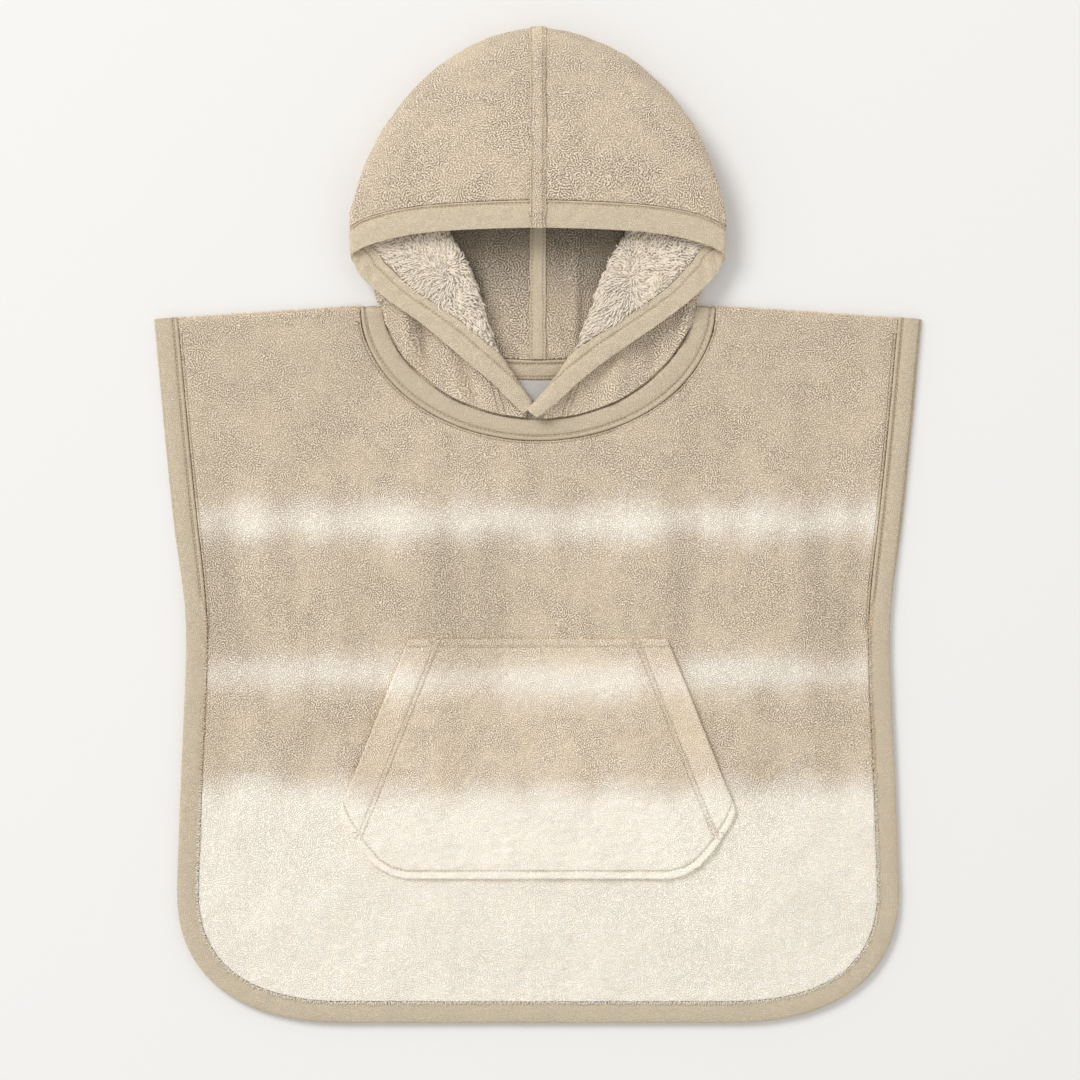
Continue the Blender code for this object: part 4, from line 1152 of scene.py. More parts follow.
# ---------------------------------------------------------------- body pieces
def binding_strip(name, inner, outer, floor_z, ridge, thickness=BINDING_THICKNESS,
                  second_row=None):
    """A binding between two curves, with the section of the table at each station.

    ridge is 1 where its stitched ridge stands clear and 0 where the pile covers it.
    second_row is where another row of stitches lies along its outer half, if any does.
    """
    section = table(BINDING_COLUMNS, BINDING_ROWS)
    across = section["across"]
    share = (across / BINDING_WIDTH)[:, None]
    ridge = np.broadcast_to(ridge, len(inner))[:, None]
    height = section["ridge"] * ridge + section["plain"] * (1 - ridge)
    height = height * thickness / BINDING_THICKNESS
    points = with_height(inner[:, None] * (1 - share) + outer[:, None] * share,
                         floor_z + height)
    reach = reach_along(outer)
    above = height > 1.0
    points[..., 2] += layered_noise(points, BINDING_NOISE) * above
    turning = (ramp(-points[..., 1], PUCKER_DOWN, PUCKER_EASE)
               * (np.abs(points[..., 0]) > PUCKER_OUT))
    drawn = soft_noise(reach[:, None] * ACROSS, PUCKER_SIZE, PUCKER_SEED)[:, None]
    points[..., 2] += PUCKER_HEIGHT * drawn * turning * np.sin(np.pi * share[:, 0]) * above
    seam = across - BINDING_DITCH
    if second_row:
        seam = np.where(across > BINDING_WIDTH / 2, second_row - across, seam)
    seam = np.where(above, seam, 9.0) + (1 - ridge) * 9.0
    return put_piece(name, points.reshape(-1, 3), tube_faces(*seam.shape), "smooth binding",
                     seam=seam, run=np.broadcast_to(reach[:, None], seam.shape))


def shoulder_line(side, neck_x, end_x, lowered):
    """Two ends of a line along a shoulder, from beside the neck outward."""
    return np.array([[side * neck_x, SHOULDER_Y - lowered],
                     [side * end_x, SHOULDER_END_Y - lowered]])


def shoulder_folds(half):
    """The folds of terry over both shoulders: half a tube with a short straight lead-in."""
    angle = np.linspace(0, np.pi, SHOULDER_GRID[1])
    level = np.ones(len(SHOULDER_LEAD))
    radius = SHOULDER_ROUND - half
    out = np.concatenate([-SHOULDER_LEAD, radius * np.sin(angle), -SHOULDER_LEAD[::-1]])
    height = SHOULDER_ROUND + radius * np.concatenate([level, np.cos(angle), -level])
    points, faces, before = [], [], 0
    for side in (-1.0, 1.0):
        ends = shoulder_line(side, SHOULDER_NECK_X,
                             SIDE_ROWS[0][1] - BINDING_WIDTH - SEAM_GAP, SHOULDER_ROUND)
        along = ends[0] + (ends[1] - ends[0]) * np.linspace(0, 1, SHOULDER_GRID[0])[:, None]
        grid = with_height(along[:, None] + side * left_way(ends)[0] * out[:, None], height)
        outward_up = grid_normals(grid)[5, 0, 2] > 0
        rises = either_way(outward_up, half + lumps(grid, FRONT_SEED, SHOULDER_LUMP),
                           half - 0.1)
        made, tied = wall_points(grid, *rises)[:2]
        points.append(made)
        faces.append((tied if outward_up else tied[:, ::-1]) + before)
        before += len(made)
    return put_piece("shoulder_folds", np.concatenate(points), [np.concatenate(faces)],
                     "terry dyed")


def side_stitches(inner, ridge, sizes):
    """Rows of stitches on both sides of the ridge of each side binding."""
    clear, middle = ridge > 0.3, len(inner) // 2
    curves = []
    for beside, rise in ((-BINDING_DITCH, DITCH_RISE - 0.05), (BESIDE_BINDING, DITCH_RISE)):
        path = with_height(inset(inner, beside), LAYER_RISE + rise)
        curves += [(path[half][clear[half]], UP)
                   for half in (slice(None, middle), slice(middle, None))]
    return stitch_mesh("side_stitches", curves, sizes)


def body_pile(inner, ridge, sizes):
    """Loose loops over the seam of the binding, and along the shoulder folds."""
    low = ridge < 0.6
    edge = with_height(inner, LAYER_RISE + EDGE_PILE_RISE)
    rows = [fringe(edge[low], with_height(-left_way(inner), 0.0)[low], EDGE_PILE_SPACING,
                   EDGE_PILE_SEED, spread=1.1)]
    for side, seed in zip((-1.0, 1.0), SHOULDER_PILE_SEEDS):
        ends = with_height(shoulder_line(side, SHOULDER_NECK_X,
                                         SIDE_ROWS[0][1] - BINDING_WIDTH, 0.9),
                           SHOULDER_PILE_Z)
        path = ends[0] + (ends[1] - ends[0]) * np.linspace(0, 1, 60)[:, None]
        rows.append(fringe(path, np.array([0.0, 1.0, 0.15]), SHOULDER_PILE_SPACING, seed))
    roots, ways, ups = (np.concatenate(part) for part in zip(*rows))
    return loop_mesh("body_loops", roots, ways, ups, sizes, LOOP_SEED, "dyed loops",
                     length=0.9, girth=1.3, arch=0.12, scattering=0.35)


# ---------------------------------------------------------------- the pocket
def pocket_outline():
    """The pocket's right half outline as (x, y) points, from its top corner down."""
    return np.array(POCKET_ROWS + ((0.0, POCKET_ROWS[-1][1]),))


def pocket_grid():
    """Middle points of the pocket: rows follow its outline, columns share its width."""
    edge = np.array(POCKET_ROWS)
    reach = reach_along(edge)
    half, y = read_at(np.linspace(0, reach[-1], POCKET_GRID[0]), reach, edge).T[..., None]
    over = np.linspace(-1, 1, POCKET_GRID[1])
    top, lowest = edge[0, 1], edge[edge[:, 0].argmax(), 1]
    along_mouth = np.clip((top - y) / (top - lowest), 0, 1)
    lift = POCKET_MOUTH_LIFT * np.sin(np.pi * along_mouth) * np.abs(over) ** MOUTH_SHARPNESS
    x, y = np.broadcast_arrays(half * over, y)
    return np.stack([x, y, front_height(x, y) + LAYER_RISE + lift], axis=2)


def mouth_frame():
    """Top corner, lower corner, way along and way in of the right hand opening."""
    outline = pocket_outline()
    top, widest = outline[0], outline[outline[:, 0].argmax()]
    way = unit(widest - top)
    inward = np.array([way[1], -way[0]])
    return top, widest, way, inward * -np.sign(inward[0])


def lower_edge(outline):
    """The outline below its widest point, led straight on past that point."""
    start = outline[:, 0].argmax()
    lead = outline[start] + LOWER_LEAD * unit(outline[start] - outline[start + 2])
    return np.concatenate([[lead], outline[start + 1:]])


def pocket_seams(folded):
    """Distance from the nearest row of stitches on the pocket, and the place along it.

    The distance is above 0 between a row and the edge, and between the two rows of a
    hand opening, and below 0 elsewhere, so that it passes through 0 at every row.
    """
    top, widest, way, inward = mouth_frame()
    lower, lower_run = distance_to_line(folded, lower_edge(pocket_outline()))
    depth, along = (folded - top) @ inward, (folded - top) @ way
    pair = MOUTH_HEM_PAIR / 2 - np.abs(depth - MOUTH_HEM - MOUTH_HEM_PAIR / 2)
    beyond = along > np.linalg.norm(widest - top) + MOUTH_END
    choices = np.stack([POCKET_STITCH_IN - (top[1] - folded[..., 1]), POCKET_STITCH_IN - lower,
                        np.where(beyond, -FAR_FROM_SEAM, pair)])
    runs = np.stack([folded[..., 0], lower_run, along])
    nearest = np.abs(choices).argmin(axis=0)[None]
    return (np.take_along_axis(rows, nearest, 0)[0] for rows in (choices, runs))


def pocket_stitch_paths():
    """Rows of stitches on the pocket's right half: edge rows and the mouth's pair."""
    outline = pocket_outline()
    top, widest, way, inward = mouth_frame()
    inner = inset(resample(lower_edge(outline), 3.0)[0][::-1], POCKET_STITCH_IN)[::-1]
    lower = inner[(inner - top) @ inward > 2.0]
    row_y = top[1] - POCKET_STITCH_IN
    paths = [np.array([[top[0] - 1.0, row_y], [0.0, row_y]]),
             np.concatenate([lower, [[0.0, outline[-1, 1] + POCKET_STITCH_IN]]])]
    for depth in (MOUTH_HEM, MOUTH_HEM + MOUTH_HEM_PAIR):
        start = top + inward * depth + way * 1.0
        start[1] = top[1] - 0.5
        paths.append(np.array([start, widest + inward * depth + way * MOUTH_RUN_ON]))
    return paths


# ---------------------------------------------------------------- hood surfaces
def point(row, name, axes="out y z"):
    """A point of a section, from its own columns of the table."""
    return np.array([row[name + "_" + axis] for axis in axes.split()])


def turn(apex, toward, radius, start=90.0, above=None, beneath=None):
    """Points after the start of a fold, round its apex from the upper to the lower layer."""
    angle = np.radians(np.linspace(start, -90.0, TURN_STEPS + 1))[1:, None]
    width = np.where(angle > 0, above or radius, beneath or radius)
    return np.asarray(apex) + np.concatenate(
        [np.asarray(toward) * width * (1 - np.cos(angle)), radius * np.sin(angle)], axis=1)


def folded_side(fold, inward, tuck, under, radius, start=90.0, drift=0.0):
    """The three folds of a folded-in side and the layers between them."""
    tuck_in = unit(tuck - fold)
    room = min(radius, np.linalg.norm(tuck - fold) / 2)
    first = turn(np.append(fold, BACK_LAYER_Z + 5 * radius), inward, radius, start,
                 beneath=room)
    first[:, 0] -= drift * np.arange(1, TURN_STEPS + 1)
    second = turn(np.append(tuck, BACK_LAYER_Z + 3 * radius), -tuck_in, radius,
                  above=room, beneath=room)
    third = turn(np.append(under, BACK_LAYER_Z + radius), inward, radius, above=room)
    second_start = np.append(tuck - tuck_in * room, BACK_LAYER_Z + 4 * radius)
    third_start = np.append(under + inward * room, BACK_LAYER_Z + 2 * radius)
    return np.concatenate([first, line(first[-1], second_start, LAYER_STEPS), second,
                           line(second[-1], third_start, LAYER_STEPS), third])


def hood_neck_point(which, out, height):
    """Point of the hood's neck edge at a distance from the centre and a height."""
    half_width, low_y, power = NECK[which]
    gap = BACK_NECK_GAP if which == "back_hood" else HOOD_NECK_GAP
    side = min(abs(out) / (half_width - gap), 1.0)
    y = SHOULDER_Y - (SHOULDER_Y - low_y - gap) * (1 - side ** 2) ** (power / 2)
    return np.array([np.sign(out) * side * (half_width - gap), y, height])


def crown_section(row):
    """Free edge, band, crown, outline fold, back of the hood, neck; out from the centre."""
    edge, seam = point(row, "edge"), point(row, "seam")
    fold, tuck = point(row, "fold", "out y"), point(row, "tuck", "out y")
    neck = hood_neck_point("back_hood", row["neck_out"], BACK_LAYER_Z)
    inward = unit(np.array(HOOD_MIDDLE) - fold)

    middle_z = row["fold_z"]
    rise = middle_z - BACK_LAYER_Z
    radius = rise / 3
    set_back = min(UNDER_SET_BACK, np.linalg.norm(tuck - fold) / 4)
    tucked_fold = folded_side(fold, inward, tuck, fold + inward * set_back, radius)

    evenly = np.linspace(middle_z + rise, BACK_LAYER_Z, len(tucked_fold) + 1)[1:, None]
    level = (tucked_fold[:, 2:] + evenly) / 2
    round_in = 1 - np.sqrt(1 - np.clip((level - middle_z) / rise, -1, 1) ** 2)
    open_fold = np.concatenate([fold + inward * CROWN_DEPTH * round_in, level], axis=1)
    share = row["open"]
    open_top, tucked_top = (np.append(fold + inward * depth, middle_z + rise)
                            for depth in (CROWN_DEPTH, radius))
    top = open_top * share + tucked_top * (1 - share)
    fold_points = open_fold * share + tucked_fold * (1 - share)
    crown = line(seam, top, CROWN_STEPS)
    arch = CROWN_BULGE * min(1.0, np.linalg.norm(top - seam) / CROWN_BULGE_LENGTH)
    crown[:, 2] += arch * np.sin(np.linspace(0, np.pi, CROWN_STEPS + 1)[1:])
    return np.concatenate([[edge], line(edge, seam, BAND_STEPS), crown, fold_points,
                           line(fold_points[-1], neck, BACK_STEPS)])


def corner_section(row):
    """Section where the band turns over at the end of the crown."""
    radius = SIDE_FOLD_RADIUS
    angle = np.radians(row["turn"])
    out = SIDE_FOLD_OUT - radius + radius * np.cos(angle)
    level = BACK_LAYER_Z + 5 * radius + radius * np.sin(angle)
    swell = CORNER_SWELL * max(0.0, -row["turn"] / 90.0)
    edge = np.array([out + swell - EDGE_SET_BACK, row["edge_y"], level])
    seam = np.array([out + swell * 0.6, row["seam_y"], level])
    start = np.array([out, row["fold_y"], level])
    drift = CORNER_DRIFT * (90.0 - row["turn"]) / 180.0
    side = folded_side(np.array([SIDE_FOLD_OUT, row["fold_y"]]), -ACROSS[:2],
                       point(row, "tuck", "out y"), point(row, "under", "out y"),
                       radius, row["turn"], drift)
    return np.concatenate([[edge], line(edge, seam, BAND_STEPS), line(seam, start, CROWN_STEPS),
                           side, line(side[-1], point(row, "neck"), BACK_STEPS)])


def lapel_section(row):
    """Free edge, band and lapel with its inside up, roll, and out beneath to the neck."""
    edge, roll, radius = point(row, "edge"), point(row, "roll"), row["roll_radius"]
    outward = unit(edge[:2] - roll[:2])
    lapel_end = roll + np.append(outward * radius, radius)
    seam = edge + unit(lapel_end - edge) * row["band"]
    neck = hood_neck_point("front_hood", row["neck_out"], row["neck_z"])
    rolled = turn(roll, outward, radius)
    reached = rolled[-1] + (neck - rolled[-1]) * row["reach"]
    reached += row["swell"] * np.array(SWELL_WAY)
    return np.concatenate([[edge], line(edge, seam, BAND_STEPS),
                           line(seam, lapel_end, CROWN_STEPS + TURN_STEPS + LAYER_STEPS),
                           rolled, line(rolled[-1], reached, LAYER_STEPS),
                           line(reached, neck, TURN_STEPS + BACK_STEPS)])


def hood_surface(lapel_rows, side):
    """Middle surface of one half of the hood, from the centre seam to the throat.

    Sections from the three tables are joined by cubics, first from section to
    section and then along each section.
    """
    crown, corner, lapel = ([section(row) for row in row_dicts(columns, rows)]
                            for section, columns, rows in (
                                (crown_section, CROWN_COLUMNS, CROWN_ROWS),
                                (corner_section, CORNER_COLUMNS, CORNER_ROWS),
                                (lapel_section, LAPEL_COLUMNS, lapel_rows)))
    sections = np.array(crown + corner + lapel)
    divisions = ([CROWN_ROW_FINENESS] * (len(crown) - 1) + [CORNER_FINENESS] * (len(corner) + 1)
                 + [CROWN_ROW_FINENESS] * (len(lapel) - 1))
    mirrored = np.concatenate([sections[1:2] * MIRROR, sections])
    surface = cubic_rows(sections, smooth_slopes(mirrored)[1:], divisions)
    rounded = round_rows(mirrored[: len(crown) + 2], [1] + divisions[: len(crown)])[1:]
    surface[:CROWN_END] = rounded[:CROWN_END]
    columns = ([BAND_FINENESS] * BAND_STEPS + [CROWN_FINENESS] * CROWN_STEPS
               + [FOLD_FINENESS] * (3 * TURN_STEPS + 2 * LAYER_STEPS)
               + [BACK_FINENESS] * BACK_STEPS)
    surface = np.swapaxes(round_rows(np.swapaxes(surface, 0, 1), columns), 0, 1)
    surface = with_full_band(eased_crown(surface))
    back = surface[:, -BACK_COLUMNS:]
    lying = ramp(back[..., 1], BACK_FOLD_FROM_Y, BACK_FOLD_EASE)
    lying = lying * (back[..., 2] < BACK_LAYER_Z + SEAM_GAP / 10)
    rise_in = np.clip(np.linspace(0, BACK_STEPS, back.shape[1]) / (BACK_STEPS - 1), 0, 1)
    for fold in row_dicts(BACK_FOLD_COLUMNS, BACK_FOLD_ROWS):
        ridge = hill(side * back[..., 0], fold["x"], fold["half_width"])
        back[..., 2] += fold["height"] * ridge * lying * rise_in
    back[:, -1, 2] = np.maximum(back[:, -1, 2], BACK_LAYER_Z)
    if side > 0:
        from_middle = surface[..., :2] - np.array(HOOD_MIDDLE)
        away = np.linalg.norm(from_middle, axis=-1, keepdims=True)
        angle = np.degrees(np.arctan2(from_middle[..., 1:], from_middle[..., :1]))
        surface[..., :2] += (FULLER_SIDE * from_middle / np.maximum(away, 1.0)
                             * hill(angle, FULLER_ANGLE, FULLER_SPREAD)
                             * ramp(away, FULLER_FROM, FULLER_EASE))
    return surface * np.array([side, 1.0, 1.0])


def eased_crown(surface):
    """The surface with its crown rows blended with their neighbours, mirrored at the seam."""
    kernel = np.hanning(2 * ROW_EASE + 3)[1:-1]
    long = np.concatenate([surface[ROW_EASE:0:-1] * MIRROR, surface[: CROWN_END + ROW_EASE]])
    blended = sum(share * long[k: k + CROWN_END]
                  for k, share in enumerate(kernel / kernel.sum()))
    fade = np.clip((CROWN_END - np.arange(CROWN_END)) / (2.0 * ROW_EASE), 0, 1)[:, None, None]
    return np.concatenate([blended * fade + surface[:CROWN_END] * (1 - fade),
                           surface[CROWN_END:]])


def with_full_band(surface):
    """The surface with its columns shared out again, so that the band has its cut width.

    Where a lapel is narrower than the band, the band runs on round the roll.  Places
    along each row are lengths along it, and every column keeps its share of them.
    """
    reach = np.stack([reach_along(row) for row in surface])
    old, whole = reach[:, BAND_END: BAND_END + 1], reach[:, -1:]
    width = np.maximum(old, np.minimum(BAND_CUT, 0.7 * whole))
    beyond = width + (reach[:, BAND_END + 1:] - old) * (whole - width) / (whole - old)
    places = np.concatenate([width * BAND_PLACES, beyond], axis=1)
    return np.stack([read_at(*row) for row in zip(places, reach, surface)])


def crease_rise(points, rows):
    """Height of the creases of a table at each point: a soft ridge along each line."""
    total = np.zeros(points.shape[:-1])
    for crease in row_dicts(CREASE_COLUMNS, rows):
        start = np.array([crease["x0"], crease["y0"]])
        way = np.array([crease["x1"], crease["y1"]]) - start
        part = ((points[..., :2] - start) @ way) / (way @ way)
        nearest = start + np.clip(part, 0, 1)[..., None] * way
        away = np.linalg.norm(points[..., :2] - nearest, axis=-1)
        fade = np.clip(1.25 - np.abs(part - 0.5) * 1.5, 0, 1)
        total += crease["height"] * hill(away, 0.0, crease["half_width"]) * fade
    return total


def painted_valley_shade(points):
    """Mask of painted shade: 1 in the hollows between the folds of the back wall, 0 on them and
    outside.
    """
    return np.max([hill(points[..., 0], *row) for row in VALLEY_ROWS], axis=0)


def two_sided(name, middle, outer_rise, inner_rise, outside_up, finishes, lined, seam):
    """A wall of cloth with an outer finish, an inner one, and a third where it is lined."""
    out = unit(middle[..., :2] - np.array(PATTERN_CENTRE))
    fallen = middle[..., :2] - out * middle[..., 2:]
    # The run attribute here carries the mask of painted shade in the back wall's hollows.
    piece = cloth_wall(name, middle, *either_way(outside_up, outer_rise, inner_rise),
                       finishes[0], seam=seam, run=painted_valley_shade(middle), cloth=fallen)
    for finish in finishes[1:]:
        piece.data.materials.append(finish_of(finish))
    inside = 1 + lined[:-1, :-1].ravel().astype(np.int32)
    which = np.zeros(len(piece.data.polygons), dtype=np.int32)
    start = len(inside) if outside_up else 0
    which[start: start + len(inside)] = inside
    piece.data.polygons.foreach_set("material_index", which)
    return piece


def swirl(centre, seed):
    """Ways of the long pile: out from a point on the lapel, turned by a soft noise."""
    def way_of(points):
        away = points - centre
        angle = layered_noise(points, SWIRL_NOISE, seed)
        cos, sin = np.cos(angle), np.sin(angle)
        return np.stack([away[:, 0] * cos - away[:, 1] * sin,
                         away[:, 0] * sin + away[:, 1] * cos, away[:, 2]], axis=1)
    return way_of


# ---------------------------------------------------------------- settings of the panel
def size_property(name, text, value, low, high):
    """A length in metres for the panel."""
    return bpy.props.FloatProperty(name=name, description=text, default=value, min=low,
                                   max=high, precision=4, subtype="DISTANCE", unit="LENGTH")


def colour_property(name, text, value):
    """A colour for the panel."""
    return bpy.props.FloatVectorProperty(name=name, description=text, default=(*value, 1.0),
                                         size=4, min=0.0, max=1.0, subtype="COLOR")


def share_property(name, text, value):
    """A share from 0 to 1 for the panel."""
    return bpy.props.FloatProperty(name=name, description=text, default=value, min=0.0,
                                   max=1.0, subtype="FACTOR")


class PonchoCloth(bpy.types.PropertyGroup):
    """Sizes of the cloth."""
    terry: size_property("Terry", "Thickness of one layer of terry", 0.003, 0.001, 0.004)
    unevenness: size_property("Unevenness", "Height of the soft lumps in it", 0.0005, 0, 0.002)
    hood_unevenness: size_property("Hood lumps", "The same on the hood", 0.0004, 0, 0.003)
    fineness: bpy.props.IntProperty(
        name="Fineness", description="Mesh steps for each step of the body's cut",
        default=BODY_FINENESS, min=1, max=9)


class PonchoPile(bpy.types.PropertyGroup):
    """Sizes of the pile."""
    thread: size_property("Thread", "Width of one thread of the pile", 0.00088, 0.0005, 0.004)
    relief: size_property("Relief", "Depth between the threads", 0.0007, 0, 0.003)
    # Strength of the painted shade in the gaps and of the painted highlights on the tips.
    contrast: share_property("Contrast", "How much darker the gaps are than the tips", 0.52)
    cloudiness: share_property("Cloudiness", "How much the shade drifts over the cloth", 0.16)
    loop_length: size_property("Loop", "Length of a loose loop", 0.0028, 0.001, 0.01)
    loop_thickness: size_property("Loop thread", "Thickness of a loose loop", 0.00052, 0.0002,
                                  0.002)


class PonchoStitch(bpy.types.PropertyGroup):
    """Sizes of the stitches."""
    pitch: size_property("Pitch", "Distance from stitch to stitch", 0.0031, 0.001, 0.01)
    length: size_property("Length", "Length of the thread that shows", 0.0023, 0.0005, 0.01)
    thickness: size_property("Thickness", "Thickness of the thread", 0.00062, 0.0002, 0.002)


class PonchoColours(bpy.types.PropertyGroup):
    """Colours of the cloth and its trims."""
    terry: colour_property("Terry", "The dyed terry", (0.865, 0.73, 0.553))
    cream: colour_property("Undyed", "The terry where the dye is lightest", (1.0, 0.960, 0.885))
    lining: colour_property("Inside", "The long pile inside the hood", (1.0, 0.895, 0.745))
    binding: colour_property("Binding", "The smooth bindings and tapes", (0.805, 0.682, 0.505))
    thread: colour_property("Thread", "Sewing thread", (0.78, 0.66, 0.49))
    label: colour_property("Label", "The bare label", (0.62, 0.60, 0.57))


class PonchoStage(bpy.types.PropertyGroup):
    """The floor, lights and camera."""
    floor: colour_property("Floor", "Colour of the floor", (0.882, 0.877, 0.867))
    key: bpy.props.FloatProperty(
        name="Key light", description="Power of the soft key light",
        default=310.0, min=0.0, max=2000.0, subtype="POWER", unit="POWER")
    fill: bpy.props.FloatProperty(name="Fill", description="Strength of the light all round",
                                  default=0.70, min=0.0, max=5.0)
    distance: size_property("Camera distance", "Height of the camera above the floor", 6.0, 1, 20)
    frame_width: size_property("View width", "Width of what the camera sees", 0.8504, 0.2, 3)


class PonchoSettings(bpy.types.PropertyGroup):
    """All settings of the poncho."""
    cloth: bpy.props.PointerProperty(type=PonchoCloth)
    pile: bpy.props.PointerProperty(type=PonchoPile)
    stitch: bpy.props.PointerProperty(type=PonchoStitch)
    colours: bpy.props.PointerProperty(type=PonchoColours)
    stage: bpy.props.PointerProperty(type=PonchoStage)


# ---------------------------------------------------------------- operators
class PONCHO_OT_body(bpy.types.Operator):
    """Front and back panels, the bindings of the sides and hem, and the shoulder folds"""
    bl_idname = "poncho.body"
    bl_label = "Body"

    def execute(self, context):
        sizes = context.scene.poncho
        fine, half = sizes.cloth.fineness, sizes.cloth.terry / MM / 2
        outer = body_outline(fine)
        inner = inset(outer, BINDING_WIDTH)
        ridge = ramp(outer[:, 1], RIDGE_END_Y, RIDGE_EASE)
        show = BACK_SHOW * ramp(outer[:, 1], ARMHOLE_END_Y, BACK_SHOW_EASE)

        flat = panel_grid("front_body", FRONT_NECK_STEPS, FRONT_SHOULDER_STEPS, fine)
        middle = with_height(flat, front_height(flat[..., 0], flat[..., 1]))
        seam, run = distance_to_line(flat, inner[::3])
        seam = np.where(flat[..., 1] > RIDGE_END_Y, seam, FAR_FROM_SEAM)
        by_neck, neck_run = distance_to_line(flat, neck_curve("front_body", 90))
        seam, run = np.minimum(seam, by_neck), np.where(by_neck < seam, neck_run, run)
        rise = with_rises(half + lumps(middle, FRONT_SEED, sizes.cloth.unevenness / MM),
                          (seam, FRONT_DIP))
        front = cloth_wall("front_terry", middle, rise, half, "terry dyed",
                           seam=seam - BESIDE_BINDING, run=run)
        front_trim = binding_strip("front_edge_binding", inner, outer, LAYER_RISE, ridge)

        flat = panel_grid("back_body", BACK_NECK_STEPS, BACK_SHOULDER_STEPS, max(1, fine // 3))
        back_middle = with_height(flat, BACK_LAYER_Z)
        back = cloth_wall("back_terry", back_middle, half, half, "terry dyed")
        back_trim = binding_strip("back_edge_binding", inner, inset(outer, -show[:, None]),
                                  0.0, 0.0, TERRY)

        folds = trim(shoulder_folds(half))
        sewing = trim(side_stitches(inner, ridge, sizes.stitch))
        pile = trim(body_pile(inner, ridge, sizes.pile))
        cut = (2 * SIDE_ROWS[0][1], SHOULDER_Y - HEM_Y)
        dress(front, "front_panel", cut, grid_area(middle),
              with_pieces=[folds, pile, sewing])
        dress(back, "back_panel", cut, grid_area(back_middle))
        bound = curve_length(outer)
        for piece, replaced, on in ((front_trim, "front_binding", "back_edge_binding"),
                                    (back_trim, "back_binding", "floor")):
            dress(piece, replaced, (BINDING_WIDTH, bound),
                  BINDING_WIDTH * bound * EDGE_SHARE)
        return {"FINISHED"}


class PONCHO_OT_pocket(bpy.types.Operator):
    """The pocket on the front, with its hems and rows of stitches"""
    bl_idname = "poncho.pocket"
    bl_label = "Pocket"

    def execute(self, context):
        sizes = context.scene.poncho
        half = sizes.cloth.terry / MM / 2
        middle = pocket_grid()
        folded = np.stack([np.abs(middle[..., 0]), middle[..., 1]], axis=-1)
        seam, run = pocket_seams(folded)
        from_edge = distance_to_line(folded, pocket_outline())[0]
        top, _, _, inward = mouth_frame()
        in_hem = ramp((folded - top) @ inward, MOUTH_HEM + 1.0, -1.0)
        pressed = np.maximum(in_hem, ramp(from_edge, POCKET_STITCH_IN + 1.0, -1.5))
        rise = with_rises(half + lumps(middle, POCKET_SEED, sizes.cloth.unevenness / MM),
                          (seam, POCKET_DITCH), (from_edge, POCKET_ROLL), (seam, HEM_RIDGE))
        pocket = cloth_wall("pocket_terry", middle, rise, half, "terry pocket",
                            seam=seam, run=run, pressed=pressed)
        rows = []
        for path in pocket_stitch_paths():
            dense = resample(path, 1.0)[0]
            height = front_height(*dense.T) + LAYER_RISE + half - POCKET_SINK
            rows += [(with_height(dense * np.array([side, 1.0]), height), UP)
                     for side in (1.0, -1.0)]
        sewing = trim(stitch_mesh("pocket_stitches", rows, sizes.stitch, "pale thread"))
        dress(pocket, "pocket", POCKET_CUT, grid_area(middle),
              with_pieces=[sewing])
        return {"FINISHED"}


